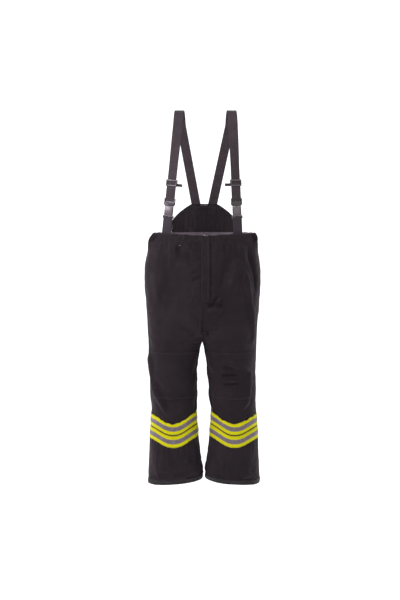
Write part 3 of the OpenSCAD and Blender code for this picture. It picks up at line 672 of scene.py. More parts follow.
def trim_mid(turn):
    shape = np.clip(1 - np.abs(np.cos(leg_angle(turn))) ** DIP_ROUND, 0, 1) ** DIP_SHARP
    dip = np.where(turn < 0, TRIM_DIP, 0) * shape
    return TRIM_SIDE_H + TRIM_RISE * (1 - np.cos(leg_angle(turn))) / 2 - dip


# %% Build each half of the shell as one grid
fly_x = {RIGHT: -0.0005, LEFT: 0.0155}
HIP_EASE, HEM_FLARE = 0.0045, 0.0035  # cloth standing off at the hips, and the hems' outward flare


def half_shell(side):
    """One half as a grid: with its folds, without them, and the folds alone."""
    h, t = np.meshgrid(heights, turns, indexing="ij")
    fly = np.where((t < 0) & (h > FLY_FOOT_H), fly_x[side], 0.0)
    p = section(h, t, 0.0, fly)
    p[..., 2] += hem_rise(h, t)
    off = ripples(t, h, 14, 0.09, 0.30, 0.0018) + ripples(t, h, 10, 0.035, 0.07, 0.00045)
    off += gathers(t, h, side) + pull_at_trim(t, h + hem_rise(h, t))
    off += HIP_EASE * np.exp(-((h - 0.88) / 0.15) ** 2 - (t / 0.55) ** 4)
    off += HEM_FLARE * np.clip(1 - h / 0.12, 0, 1)
    plain = off.copy()
    for fold_side, a, b, width, proud in FRONT_FOLDS:
        if fold_side == side:
            start, end = (front_turn(*a), a[1]), (front_turn(*b), b[1])
            off += np.where(t < 0.04, fold(t, h, start, end, width, proud), 0)
    for fold_side, a, b, width, proud in BACK_FOLDS:
        if fold_side == side:
            off += np.where(t > -0.04, fold(t, h, a, b, width, proud), 0)
    edge = np.clip((1 - np.abs(t)) / 0.05, 0, 1)
    held = edge * edge * (3 - 2 * edge)
    on_trim = np.clip((np.abs(h - trim_mid(t)) - trim_half + 0.004) / 0.012, 0, 1)
    share = held * (0.25 + 0.75 * on_trim)
    n = grid_normals(p)
    n[..., 2] *= 0.3
    folds = (off - plain) * share
    off = off * share + HEM_FLARE * np.clip(1 - h / 0.12, 0, 1) * (1 - share)
    return p + n * off[..., None], p, n * folds[..., None]


shell_rest = {side: half_shell(side) for side in (RIGHT, LEFT)}


# %% Let the solver settle the cloth
def grid_faces(grid_ids):
    a, b = grid_ids[:-1, :-1], grid_ids[:-1, 1:]
    c, d = grid_ids[1:, 1:], grid_ids[1:, :-1]
    return np.stack([a, b, c, d], -1).reshape(-1, 4)


WELD = 0.0004  # seam points closer than this become one
TRIM_HOLD, SEAM_HOLD, HEM_HOLD = 0.35, 0.6, 0.5  # how firmly each place is pinned, from 0 to 1


def weld_key(p):
    return tuple(np.round(p / WELD).astype(int))


def settle(grids, frames=14):
    """Cloth simulation of both halves sewn into one shell. Returns the grids it settles to."""
    ids, verts, seen = {}, [], {}
    for side, g in grids.items():
        grid_ids = np.zeros(g.shape[:2], int)
        for i in range(g.shape[0]):
            for j in range(g.shape[1]):
                key = weld_key(g[i, j]) if j in (0, g.shape[1] - 1) else None
                if key is not None and key in seen:
                    grid_ids[i, j] = seen[key]
                    continue
                grid_ids[i, j] = len(verts)
                verts.append(g[i, j])
                if key is not None:
                    seen[key] = grid_ids[i, j]
        ids[side] = grid_ids
    faces = np.concatenate([grid_faces(ids[s]) for s in grids])
    faces = [f for f in faces if len(set(f)) == 4]
    mesh = mesh_from("shell_sim", verts, faces)
    obj = bpy.data.objects.new("shell_sim", mesh)
    bpy.context.scene.collection.objects.link(obj)
    pins = obj.vertex_groups.new(name="pins")
    weights = np.zeros(len(verts))
    for side, g in grids.items():
        h, t = np.meshgrid(heights, turns, indexing="ij")
        hold = np.clip(1 - (seam_h - h) / 0.03, 0, 1)
        on_trim = (np.abs(h - trim_mid(t)) < trim_half) * TRIM_HOLD
        fly_edge = ((np.abs(t) > 0.93) & (t < 0) & (h > FLY_FOOT_H - 0.03)) * 1.0
        seams = (np.abs(t) > 0.985) * SEAM_HOLD
        hem = (h < 0.012) * HEM_HOLD
        hold = np.maximum.reduce([hold, on_trim, fly_edge, seams, hem])
        weights[ids[side].ravel()] = np.maximum(weights[ids[side].ravel()], hold.ravel())
    for level in np.unique(np.round(weights, 2)):
        if level > 0:
            pins.add([int(i) for i in np.flatnonzero(np.round(weights, 2) == level)], float(level),
                     "REPLACE")
    cloth = obj.modifiers.new("settle", "CLOTH").settings
    cloth.quality = 5
    cloth.mass = 0.35
    cloth.tension_stiffness = 18
    cloth.compression_stiffness = 18
    cloth.shear_stiffness = 8
    cloth.bending_stiffness = 0.9
    cloth.air_damping = 3
    cloth.vertex_group_mass = "pins"
    cloth.pin_stiffness = 8
    cloth.shrink_min = -0.022
    scene = bpy.context.scene
    scene.frame_start, scene.frame_end = 1, frames
    for f in range(1, frames + 1):
        scene.frame_set(f)
    done = obj.evaluated_get(bpy.context.evaluated_depsgraph_get())
    co = np.array([v.co for v in done.data.vertices])
    start = np.array(verts)
    moved = co - start
    out = np.zeros_like(start)
    for side, g in grids.items():
        out[ids[side].ravel()] = (grid_normals(g * np.array([side, 1, 1])) * np.array([side, 1,
                1])).reshape(-1, 3)
    sunk = np.minimum((moved * out).sum(1, keepdims=True) + SINK_CAP, 0)
    moved -= sunk * out
    size = np.linalg.norm(moved, axis=1, keepdims=True)
    moved *= np.minimum(1, SETTLE_CAP / np.maximum(size, 1e-9))
    print(f"the shell settled by {size.mean() * 1000:.1f} mm on average")
    print(f"and by {size.max() * 1000:.1f} mm at most, before the cap")
    bpy.data.objects.remove(obj)
    scene.frame_set(1)
    return {side: (start + moved)[ids[side]] for side in grids}


SETTLE_CAP, SINK_CAP = 0.010, 0.0015  # the most that cloth may move, and sink inwards
FOLD_AGAIN = 0.6  # how much of each placed fold is put back after the solver has eased it out
draped = {side: shell_rest[side][0] for side in (RIGHT, LEFT)}
mirrored = {side: draped[side] * np.array([side, 1, 1]) for side in draped}
mirrored = settle(mirrored)
draped = {side: mirrored[side] * np.array([side, 1, 1]) for side in mirrored}
draped = {side: draped[side] + FOLD_AGAIN * shell_rest[side][2] for side in draped}

# %% [markdown]
# ## Addresses on the settled cloth
# Everything sewn to the shell has to follow its folds. The settled grid can be read at any turn and
# height between its points, with the direction that the cloth faces there, so trim, patches, seams
# and stitches all sit on the same wrinkles.

# %% Reading the settled cloth
draped_n = {side: grid_normals(draped[side]) for side in draped}


def on_cloth(side, turn, h, off=0.0):
    """Points on the settled cloth at (turn, height), off metres proud of it, in the frame's place."""
    turn, h, off = np.broadcast_arrays(*(np.asarray(v, float) for v in (turn, h, off)))
    lift = HEM_LIFT * (1 - np.cos(leg_angle(turn))) / 2
    nominal = np.where(h < HEM_REACH, (h - lift) / (1 - lift / HEM_REACH), h)
    row = np.clip(nominal / seam_h, 0, 1) * (ROWS - 1)
    col = (np.clip(turn, -1, 1) + 1) / 2 * (COLUMNS - 1)
    i, j = np.minimum(row.astype(int), ROWS - 2), np.minimum(col.astype(int), COLUMNS - 2)
    a, b = (row - i)[..., None], (col - j)[..., None]

    def read(g):
        low = g[i, j] * (1 - b) + g[i, j + 1] * b
        high = g[i + 1, j] * (1 - b) + g[i + 1, j + 1] * b
        return low * (1 - a) + high * a

    p, n = read(draped[side]), read(draped_n[side])
    n = n / np.maximum(np.linalg.norm(n, axis=-1, keepdims=True), 1e-9)
    return worn(p + n * off[..., None], side)


def smooth_rows(g, factor=2):
    """A finer grid through the same cloth, by cubic reading along both ways."""
    for axis in (0, 1):
        n = g.shape[axis]
        at = np.linspace(0, n - 1, (n - 1) * factor + 1)
        i = np.clip(at.astype(int), 0, n - 2)
        s = (at - i).reshape([-1 if k == axis else 1 for k in range(3)])
        take = lambda k: np.take(g, np.clip(i + k, 0, n - 1), axis=axis)
        p0, p1, p2, p3 = take(-1), take(0), take(1), take(2)
        g = p1 + 0.5 * s * (p2 - p0 + s * (2 * p0 - 5 * p1 + 4 * p2 - p3 + s * (3 * (p1 - p2) + p3 - p0)))
    return g


# %% Outer panels
SHELL_T = 0.0014


def flat_area(g):
    a = np.linalg.norm(np.cross(np.diff(g, axis=0)[:, :-1], np.diff(g, axis=1)[:-1]), axis=-1)
    return float(a.sum())


def outer_panel(name, side, side_name, columns):
    g = draped[side][:, columns]
    fine = smooth_rows(g)
    n = grid_normals(fine)
    h = np.linspace(0, seam_h, fine.shape[0])
    t = np.linspace(turns[columns][0], turns[columns][-1], fine.shape[1])
    uv = np.stack(np.meshgrid(t * CLOTH_SPAN, h), -1)
    piece = cloth_skin(f"{name}_{side_name}", worn(fine, side), worn(fine - n * SHELL_T, side), uv,
                       shell_cloth, replaces=[f"{name}_{side_name}"], slot="shell_cloth")
    cut = flat_area(shell_rest[side][1][:, columns])
    print(f"{piece.name}: {len(piece.data.polygons)} faces, cut area {cut:.3f} square metres")


middle = COLUMNS // 2
for side_name, side in SIDES.items():
    outer_panel("outer_front", side, side_name, slice(0, middle + 1))
    outer_panel("outer_back", side, side_name, slice(middle, COLUMNS))

# %% [markdown]
# ## Pieces that lie on the shell
# A band of trim is a long strip whose outer face stands a millimetre proud, with thin turned edges.
# Its section is slightly crowned so that light catches the middle and the edges look sewn down.

# %% Strips and patches on the cloth


def on_shell(name, side, side_name, turn_grid, height_grid, off, thick, material, slot, crown=0.0,
             end_drop=0):
    """A strip or patch following the settled cloth. Crown lets its middle stand prouder."""
    m, n = turn_grid.shape
    v = np.abs(np.linspace(-1, 1, m))[:, None]
    edge_drop = np.clip((v - 0.86) / 0.14, 0, 1) ** 2
    ends = np.clip((np.abs(np.linspace(-1, 1, n)) - 0.985) / 0.015, 0, 1)[None, :] ** 2
    proud = off + crown * (1 - v ** 4) - (thick * 0.75) * np.maximum(edge_drop, ends * end_drop)
    outer = on_cloth(side, turn_grid, height_grid, proud)
    inner = on_cloth(side, turn_grid, height_grid, off - thick)
    uv = np.stack([turn_grid * CLOTH_SPAN, height_grid], -1)
    node = f"{name}_{side_name}"
    return cloth_skin(node, outer, inner, uv, material, replaces=[node], slot=slot)


def band_grids(low, high, rows=9, columns=221, reach=0.996):
    t, s = np.meshgrid(np.linspace(-reach, reach, columns), np.linspace(low, high, rows))
    return t, trim_mid(t) + s


TAPE_OFF, TAPE_T = 0.0013, 0.0011
SILVER_OFF, SILVER_T = 0.0024, 0.0010
GUARD_OFF, GUARD_T = 0.0014, 0.0012
PATCH_OFF, PATCH_T = 0.0021, 0.0012
PAD_OFF, PAD_T = 0.0013, 0.0010
PATCH_FRONT, PATCH_SIDE, PATCH_LOW, PATCH_HIGH = -0.90, -0.10, 0.390, 0.600
for side_name, side in SIDES.items():
    for place, low in (("upper", TRIM_GAP / 2), ("lower", -TRIM_GAP / 2 - TRIM_W)):
        t, h = band_grids(low, low + TRIM_W, rows=13)
        tape = on_shell(f"{place}_trim", side, side_name, t, h, TAPE_OFF, TAPE_T, lime_trim,
                        "trim_yellow", 0.0003)
        t, h = band_grids(low + (TRIM_W - SILVER_W) / 2, low + (TRIM_W + SILVER_W) / 2, rows=9)
        strip = on_shell(f"{place}_silver", side, side_name, t, h, SILVER_OFF, SILVER_T, silver_trim,
                         "trim_silver", 0.0003)
    t, h = np.meshgrid(np.linspace(-0.996, 0.996, 221), np.linspace(0.0, 0.022, 7))
    rise = HEM_LIFT * (1 - np.cos(leg_angle(t))) / 2
    guard = on_shell("hem_guard", side, side_name, t, h + rise * (1 - h / HEM_REACH), GUARD_OFF, GUARD_T,
                     cuff_cloth, "hem_leather")
    t, h = np.meshgrid(np.linspace(PATCH_FRONT, PATCH_SIDE, 97), np.linspace(PATCH_LOW, PATCH_HIGH, 61))
    pad_t, pad_h = np.meshgrid(np.linspace(-0.82, -0.18, 33), np.linspace(0.408, 0.582, 25))
    patch = on_shell("knee_patch", side, side_name, t, h, PATCH_OFF, PATCH_T, patch_cloth,
                     "patch_cloth", 0.0004,
                     end_drop=1.0)
    pad = on_shell("knee_pad", side, side_name, pad_t, pad_h, PAD_OFF, PAD_T, underlap_cloth, "pad_foam")
print("trim, hem guards and knee patches laid on the cloth")

# %% [markdown]
# ## Seams and stitching
# Turnout seams are felled: the cloth is folded over itself and sewn with two rows. A narrow raised
# lap follows each seam, and every stitch is a real short capsule of thread, pressed into the cloth.

# %% Laps and stitches


def ribbon_on(side, turn_path, height_path, width, proud, base=0.0):
    """Outer and inner grids of a narrow lap that follows a path of addresses."""
    turn_path, height_path = np.asarray(turn_path, float), np.asarray(height_path, float)
    du, dv = np.gradient(turn_path * CLOTH_SPAN), np.gradient(height_path)
    length = np.hypot(du, dv) + 1e-9
    s = np.linspace(-0.5, 0.5, 5)[:, None] * width
    t = turn_path[None] - s * dv / length / CLOTH_SPAN
    h = height_path[None] + s * du / length
    bulge = np.array([0.15, 0.9, 1.0, 0.9, 0.15])[:, None] * proud
    return on_cloth(side, t, h, base + bulge), on_cloth(side, t, h, base - 0.0005), t, h


STITCH_PITCH, STITCH_L, THREAD_R = 0.0046, 0.0033, 0.00048
FIRST_STITCH, LAST_STITCH, BAR_R = 0.002, 0.0035, 0.0005


def run_along(path):
    """Distance from a path's start to each of its points."""
    return np.concatenate([[0], np.cumsum(np.linalg.norm(np.diff(path, axis=0), axis=1))])


def read_along(run, values, at):
    """A path's points or directions, read at distances along it."""
    return np.stack([np.interp(at, run, values[:, k]) for k in range(3)], -1)


def stitch_line(side, turn_path, height_path, off):
    """Short capsules of thread along a path of addresses: vertices and faces."""
    path = on_cloth(side, turn_path, height_path, off)
    lift = on_cloth(side, turn_path, height_path, off + 0.001) - path
    run = run_along(path)
    starts = np.arange(STITCH_PITCH / 2, run[-1] - STITCH_L, STITCH_PITCH)
    up = read_along(run, lift, starts + STITCH_L / 2)
    return capsules(read_along(run, path, starts), read_along(run, path, starts + STITCH_L), up, THREAD_R)


def sew_path(path, lift):
    """Stitches along a path of points. The lift is one direction, or one for each point."""
    run = run_along(path)
    starts = np.arange(FIRST_STITCH, run[-1] - LAST_STITCH, STITCH_PITCH)
    up = np.tile(lift, (len(starts), 1)) if np.ndim(lift) == 1 else read_along(run, lift, starts)
    return capsules(read_along(run, path, starts), read_along(run, path, starts + STITCH_L), up, BAR_R)


def capsules(a, b, up, radius):
    """Six-sided capsules from a to b, slightly sunk at their ends."""
    d = b - a
    d /= np.maximum(np.linalg.norm(d, axis=1, keepdims=True), 1e-9)
    up = up - d * (up * d).sum(1, keepdims=True)
    up /= np.maximum(np.linalg.norm(up, axis=1, keepdims=True), 1e-9)
    w = np.cross(d, up)
    rings = []
    for share, size, lift in ((0.0, 0.35, -0.6), (0.2, 1.0, 0.35), (0.8, 1.0, 0.35), (1.0, 0.35, -0.6)):
        c = a + (b - a) * share + up * radius * lift
        ring = [c + (w * math.cos(q) + up * math.sin(q)) * radius * size
                for q in np.arange(6) * math.pi / 3]
        rings.append(np.stack(ring, 1))
    verts = np.stack(rings, 1)
    count = len(a)
    faces = []
    for k in range(3):
        for q in range(6):
            r = (q + 1) % 6
            faces.append([6 * k + q, 6 * k + r, 6 * k + 6 + r, 6 * k + 6 + q])
    quads = (np.array(faces)[None] + (np.arange(count) * 24)[:, None, None]).reshape(-1, 4)
    caps = [[5, 4, 3, 2, 1, 0], [18, 19, 20, 21, 22, 23]]
    ends = (np.array(caps)[None] + (np.arange(count) * 24)[:, None, None]).reshape(-1, 6)
    return verts.reshape(-1, 3), [list(f) for f in quads] + [list(f) for f in ends]


def join_parts(parts):
    verts, faces, base = [], [], 0
    for v, f in parts:
        verts.append(v)
        faces += [[i + base for i in face] for face in f]
        base += len(v)
    return np.concatenate(verts), faces


def sewn(name, parts, material, body="trousers", slot="shell_cloth"):
    verts, faces = join_parts(parts)
    mesh = mesh_from(name, verts, faces)
    bm = bmesh.new()
    bm.from_mesh(mesh)
    bmesh.ops.recalc_face_normals(bm, faces=bm.faces)
    bm.to_mesh(mesh)
    bm.free()
    place_piece(name, mesh, material, body=body, slot=slot)
    print(f"{name}: {len(parts)} rows of stitches")


def up_line(turn, low, high, count=240):
    h = np.linspace(low, high, count)
    return np.full(count, turn, float), h


lap_w, row_gap = 0.010, 0.0032
ON_LAP, ON_PATCH = 0.0014, 0.0026  # how far off the shell the thread lies
for side_name, side in SIDES.items():
    laps, rows = [], []
    top = seam_h - 0.001
    low_trim, high_trim = trim_mid(np.array(0.02)) - trim_half, trim_mid(np.array(0.02)) + trim_half
    side_runs = [(0.024, float(low_trim) - 0.002), (float(high_trim) + 0.002, top)]
    for low, high in side_runs:
        t, h = up_line(0.016, low, high, 260)
        laps.append((t, h))
        for shift in (-row_gap, row_gap):
            rows.append(stitch_line(side, t + shift / CLOTH_SPAN, h, ON_LAP))
    in_low = float(trim_mid(np.array(1.0)) - trim_half) - 0.002
    in_high = float(trim_mid(np.array(1.0)) + trim_half) + 0.002
    for low, high in ((0.046, in_low), (in_high, CROTCH_H - 0.028)):
        t, h = up_line(-0.965, low, high, 200)
        laps.append((t, h))
        for shift in (-row_gap, row_gap):
            rows.append(stitch_line(side, t + shift / CLOTH_SPAN, h, ON_LAP))
    t, h = up_line(0.965, CROTCH_H + 0.11, top, 200)
    laps.append((t, h))
    rows.append(stitch_line(side, t - row_gap / CLOTH_SPAN, h, ON_LAP))
    for k, (t, h) in enumerate(laps):
        outer, inner, tg, hg = ribbon_on(side, t, h, lap_w, 0.0012)
        uv = np.stack([tg * CLOTH_SPAN, hg], -1)
        cloth_skin(f"seam_lap_{side_name}_{k + 1}", outer, inner, uv, shell_cloth, slot="shell_cloth")
    ring_t = np.linspace(-0.985, 0.985, 420)
    for low in (TRIM_GAP / 2, -TRIM_GAP / 2 - TRIM_W):
        for s in (low + 0.0025, low + TRIM_W - 0.0025):
            rows.append(stitch_line(side, ring_t, trim_mid(ring_t) + s, 0.0014))
    rise = HEM_LIFT * (1 - np.cos(leg_angle(ring_t))) / 2
    for s in (0.0185, 0.0150):
        rows.append(stitch_line(side, ring_t, s + rise * (1 - s / HEM_REACH), 0.0015))
    for s in (0.005, 0.010):
        t_patch = np.linspace(PATCH_FRONT + s / CLOTH_SPAN, PATCH_SIDE - s / CLOTH_SPAN, 160)
        rows.append(stitch_line(side, t_patch, np.full(160, PATCH_LOW + s), ON_PATCH))
        rows.append(stitch_line(side, t_patch, np.full(160, PATCH_HIGH - s), ON_PATCH))
        for turn in (PATCH_FRONT + s / CLOTH_SPAN, PATCH_SIDE - s / CLOTH_SPAN):
            rows.append(stitch_line(side, *up_line(turn, 0.392 + s, 0.598 - s, 120), ON_PATCH))
    waist_t = np.linspace(-0.97, 0.99, 500)
    rows.append(stitch_line(side, waist_t, np.full(500, seam_h - 0.004), 0.0003))
    sewn(f"seam_stitches_{side_name}", rows, navy_thread)
    silver_rows = []
    for low in (TRIM_GAP / 2, -TRIM_GAP / 2 - TRIM_W):
        mid = low + TRIM_W / 2
        for s in (mid - SILVER_W / 2 + 0.0015, mid + SILVER_W / 2 - 0.0015):
            silver_rows.append(stitch_line(side, ring_t, trim_mid(ring_t) + s, ON_PATCH))
    sewn(f"silver_stitches_{side_name}", silver_rows, pale_thread, slot="trim_yellow")

# %% [markdown]
# ## Inside the legs
# Under the shell lie a moisture barrier and a quilted thermal liner. They show only from above and
# at the hems. The quilting is a diamond grid: each cell swells and each stitched line sinks.

# %% Barrier and liner


def hollow_at(side, turn, h):
    """How far the settled shell has sunk below the plain body at each address, smoothed and in metres."""
    sink = ((draped[side] - shell_rest[side][1]) * draped_n[side]).sum(-1)
    low = sink.copy()
    for _ in range(3):
        for axis in (0, 1):
            low = np.minimum(low, np.minimum(np.roll(low, 1, axis), np.roll(low, -1, axis)))
    row, col = h / seam_h * (ROWS - 1), (turn + 1) / 2 * (COLUMNS - 1)
    i, j = np.clip(row.astype(int), 0, ROWS - 2), np.clip(col.astype(int), 0, COLUMNS - 2)
    a, b = row - i, col - j
    below = low[i, j] * (1 - b) + low[i, j + 1] * b
    above = low[i + 1, j] * (1 - b) + low[i + 1, j + 1] * b
    return below * (1 - a) + above * a


def inner_layer(name, side, side_name, off, thick, quilt, material, slot):
    h, t = np.meshgrid(np.linspace(0.014, seam_h - 0.020, 150), np.linspace(-0.995, 0.995, 141),
                       indexing="ij")
    gap = np.where((t < 0) & (h > FLY_FOOT_H), 0.028, 0.0)
    lift = hem_rise(h, t)
    hollow = np.minimum(hollow_at(side, t, h), 0)
    off = off + hollow
    cell = np.abs(np.sin((t * CLOTH_SPAN + h) * math.pi / 0.045) * np.sin((t * CLOTH_SPAN
            - h) * math.pi / 0.045))
    swell = quilt * np.sqrt(cell)
    outer, inner = section(h, t, off + swell * 0.3, gap), section(h, t, off - thick - swell, gap)
    outer[..., 2] += lift
    inner[..., 2] += lift
    uv = np.stack([t * CLOTH_SPAN, h], -1)
    node = f"{name}_{side_name}"
    piece = cloth_skin(node, worn(outer, side), worn(inner, side), uv, material, replaces=[node], slot=slot)
    area = flat_area(section(h, t, off, gap))
    print(f"{node}: {area:.3f} square metres")


for side_name, side in SIDES.items():
    inner_layer("moisture_barrier", side, side_name, -0.0072, 0.0008, 0.0, barrier_cloth,
                "barrier_film")
    inner_layer("thermal_liner", side, side_name, -0.0090, 0.0016, 0.0018, liner_cloth,
                "quilted_liner")

# %% [markdown]
# ## The waistband
# The band is a folded strip around the top, flat at the front and back and gathered over elastic at
# the sides. It is softly rolled: its middle stands proud and its edges tuck in, with fine puckers.

# %% Waistband pieces
BAND_OUT, BAND_IN, ELASTIC = 0.0022, 0.0025, 0.32
waist_dip = 0.008


def band_piece(name, side, turn_span, tucks, count, amount, slot, replaces):
    """One length of the band, with a number of tucks for each turn and an amount of puckering."""
    s = np.linspace(0, 1, 17)[:, None]
    t = np.linspace(*turn_span, count)[None, :]
    h = seam_h - 0.002 + s * (waist_h - seam_h + 0.002)
    h, t = np.broadcast_arrays(h, t)
    s = np.broadcast_to(s, h.shape)
    roll = np.sin(np.pi * s) ** 0.6
    fold_wave = np.sin(t * tucks * 2 * np.pi + np.sin(t * 31 + side) * 1.2 + s * 0.8)
    pucker = 0.0016 * fold_wave * (0.35 + 0.65 * np.sin(np.pi * np.clip(s, 0.05, 0.95)))
    wander = 0.0010 * np.sin(t * 9 + side * 2) * np.sin(np.pi * s)
    edge = np.where(t < 0, fly_x[side], 0.0)
    outer = section(h, t, BAND_OUT * (0.35 + 0.65 * roll) + pucker * amount + wander, edge)
    inner = section(h, t, -BAND_IN + pucker * amount * 0.4, edge)
    for g in (outer, inner):
        dip = np.where(t < 0, waist_dip * np.clip(1 - np.abs(g[..., 0]) / 0.13, 0, 1), 0)
        g[..., 2] -= s * dip + s * 0.0008 * np.sin(t * 40 + side)
    uv = np.stack([t * CLOTH_SPAN, h], -1)
    cloth_skin(name, worn(outer, side), worn(inner, side), uv, shell_cloth, slot=slot, replaces=replaces)


for side_name, side in SIDES.items():
    front, sides, back = (f"{name}_{side_name}"
                          for name in ("waistband_front", "side_elastic", "waistband_back"))
    band_piece(front, side, (-1, -ELASTIC - 0.002), 11, 150, 0.45, "shell_cloth", [front])
    band_piece(sides, side, (-ELASTIC, ELASTIC), 27, 220, 1.9, "elastic_cloth", [sides])
    whole_back = ["waistband_back"] if side == RIGHT else []
    band_piece(back, side, (ELASTIC + 0.002, 0.9995), 12, 150, 0.5, "shell_cloth", whole_back)


def band_stitches(side):
    rows = []
    for s in (0.12, 0.90):
        t = np.linspace(-0.985, 0.995, 700)
        h = seam_h + s * (waist_h - seam_h)
        edge = np.where(t < 0, fly_x[side], 0.0)
        p = section(np.full_like(t, h), t, BAND_OUT * 0.85, edge)
        p[:, 2] -= np.where(t < 0, s * waist_dip * np.clip(1 - np.abs(p[:, 0]) / 0.13, 0, 1), 0)
        q = section(np.full_like(t, h), t, BAND_OUT + 0.001, edge)
        path, lift = worn(p, side), worn(q, side) - worn(p, side)
        rows.append(sew_path(path, lift))
    return rows


for side_name, side in SIDES.items():
    sewn(f"band_stitches_{side_name}", band_stitches(side), navy_thread)


def facing(side, side_name):
    s = np.linspace(0, 1, 11)[:, None]
    t = np.linspace(-1, 0.9995, 200)[None, :]
    h, t = np.broadcast_arrays(seam_h - 0.014 + s * (waist_h - seam_h + 0.0135), t)
    ripple = 0.0005 * np.sin(t * 60 + s * 3)
    edge = np.where(t < 0, 0.028, 0.0)
    outer = section(h, t, -0.0029 + ripple, edge)
    inner = section(h, t, -0.0042 + ripple, edge)
    for g in (outer, inner):
        g[..., 2] -= np.where(t < 0, s * waist_dip * np.clip(1 - np.abs(g[..., 0]) / 0.13, 0, 1), 0)
    uv = np.stack([t * CLOTH_SPAN, h], -1)
    piece = cloth_skin(f"waist_facing_{side_name}", worn(outer, side), worn(inner, side), uv, facing_cloth,
                       replaces=["waist_facing"] if side == RIGHT else [], slot="facing_cloth")


for side_name, side in SIDES.items():
    facing(side, side_name)
print("waistband, elastic and facing made")

# %% [markdown]
# ## The bib
# The bib rises from the back waistband. Its lining faces the wearer and is what the front view
# shows: matt black cloth with soft upright folds, a ridge over each brace end sewn between the two
# layers, and a double row of stitches inside a bound edge.

# %% Bib, lining and binding
bib_low, bib_high = (c.z - hem_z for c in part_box("back_bib"))
bib_top_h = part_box("bib_binding")[1].z - hem_z
BIB_BASE, BIB_FOOT, BIB_PEAK = 0.149, 0.145, 0.056
bib_slant_h = waist_h + 0.036
BIB_LEAN, BIB_T, BIB_CURVE = 0.05, 0.002, 1.6
STRAP_GAP = 0.0007  # room between the bib and the webbing sewn inside it
WEB_W, WEB_T = 0.040, 0.0018
lining_off = -BIB_T - WEB_T - 2 * STRAP_GAP


def bib_half(h):
    rise = np.clip((h - bib_slant_h) / (bib_top_h - bib_slant_h), 0, 1)
    straight = BIB_BASE + (BIB_FOOT - BIB_BASE) * (h - waist_h) / (bib_slant_h - waist_h)
    return np.where(h < bib_slant_h, straight, BIB_FOOT + (BIB_PEAK - BIB_FOOT) * rise ** BIB_CURVE)


def bib_point(x, h, off):
    inside = np.clip(1 - (np.abs(x) / (waist_side + off)) ** FULLNESS, 0, 1)
    return np.stack([x, (back_d + off) * inside ** (1 / FULLNESS) - (h - waist_h) * BIB_LEAN,
                     h + hem_z], -1)


BRACE_REAR_X = {"right": -0.036, "left": 0.036}


def bib_layer(name, off, thick, fold_size, inner_face, material, foot_h):
    h = np.linspace(foot_h, bib_high - 0.0005, 78)[:, None]
    u = np.linspace(-1, 1, 150)[None, :]
    half = bib_half(np.maximum(h, waist_h)) - 0.005
    x = u * half
    h, x = np.broadcast_arrays(h, x)
    up = (h - bib_low) / (bib_high - bib_low)
    folds = fold_size * (np.sin(x * 165 + up * 1.7) * 0.6 + np.sin(x * 310 - up * 2.6 + 1) * 0.4)
    folds *= np.clip(1 - up, 0, 1) ** 0.6 * np.clip((half - np.abs(x)) / 0.02, 0,
                                                    1) * np.clip(up / 0.08, 0, 1)
    for brace_x in BRACE_REAR_X.values():
        over = np.clip(1 - (np.abs(x - brace_x * (0.75 + 0.25 * up)) / 0.021) ** 8, 0, 1)
        folds = folds + inner_face * 0.0013 * over * np.clip((up - 0.42) / 0.1, 0, 1)
    side_rim = np.exp(-((half - np.abs(x) - 0.004) / 0.0022) ** 2)
    top_rim = np.exp(-((bib_high - h - 0.004) / 0.0022) ** 2)
    folds = folds - 0.0005 * np.clip(side_rim + top_rim, 0, 1)
    outer = bib_point(x, h, off + (0 if inner_face else folds))
    inner = bib_point(x, h, off - thick - (folds if inner_face else 0))
    uv = np.stack([x, h], -1)
    piece = cloth_skin(name, outer, inner, uv, material, replaces=[name], slot="bib_cloth")
    cut = flat_area(bib_point(x, h, off))
    print(f"{name}: {cut:.4f} square metres")


bib_layer("back_bib", 0.0, BIB_T, 0.0010, 0, shell_cloth, waist_h - 0.012)
bib_layer("bib_lining", lining_off, 0.0012, 0.0016, 1, bib_cloth, waist_h + 0.0005)


def sweep(path, facing_dirs, profile):
    """Sweeps a small outline of (across, out) points along a path. Returns vertices and faces."""
    path, facing_dirs = np.asarray(path, float), np.asarray(facing_dirs, float)
    d = np.gradient(path, axis=0)
    d /= np.linalg.norm(d, axis=1, keepdims=True)
    across = np.cross(facing_dirs, d)
    across /= np.maximum(np.linalg.norm(across, axis=1, keepdims=True), 1e-9)
    out = np.cross(d, across)
    profile = np.asarray(profile, float)
    rings = path[:, None] + across[:, None] * profile[None, :, :1] + out[:, None] * profile[None, :, 1:]
    n, k = rings.shape[:2]
    faces = []
    for i in range(n - 1):
        for j in range(k):
            q = (j + 1) % k
            faces.append([i * k + j, i * k + q, (i + 1) * k + q, (i + 1) * k + j])
    faces += [list(range(k))[::-1], [(n - 1) * k + j for j in range(k)]]
    return rings.reshape(-1, 3), faces


def round_profile(width, thick, count=5):
    """A flat strip's outline with round edges."""
    r = thick / 2
    left = [(-width / 2 + r - r * math.sin(a), r * math.cos(a)) for a in np.linspace(0, math.pi, count)]
    right = [(width / 2 - r + r * math.sin(a), -r * math.cos(a)) for a in np.linspace(0, math.pi, count)]
    return left + right


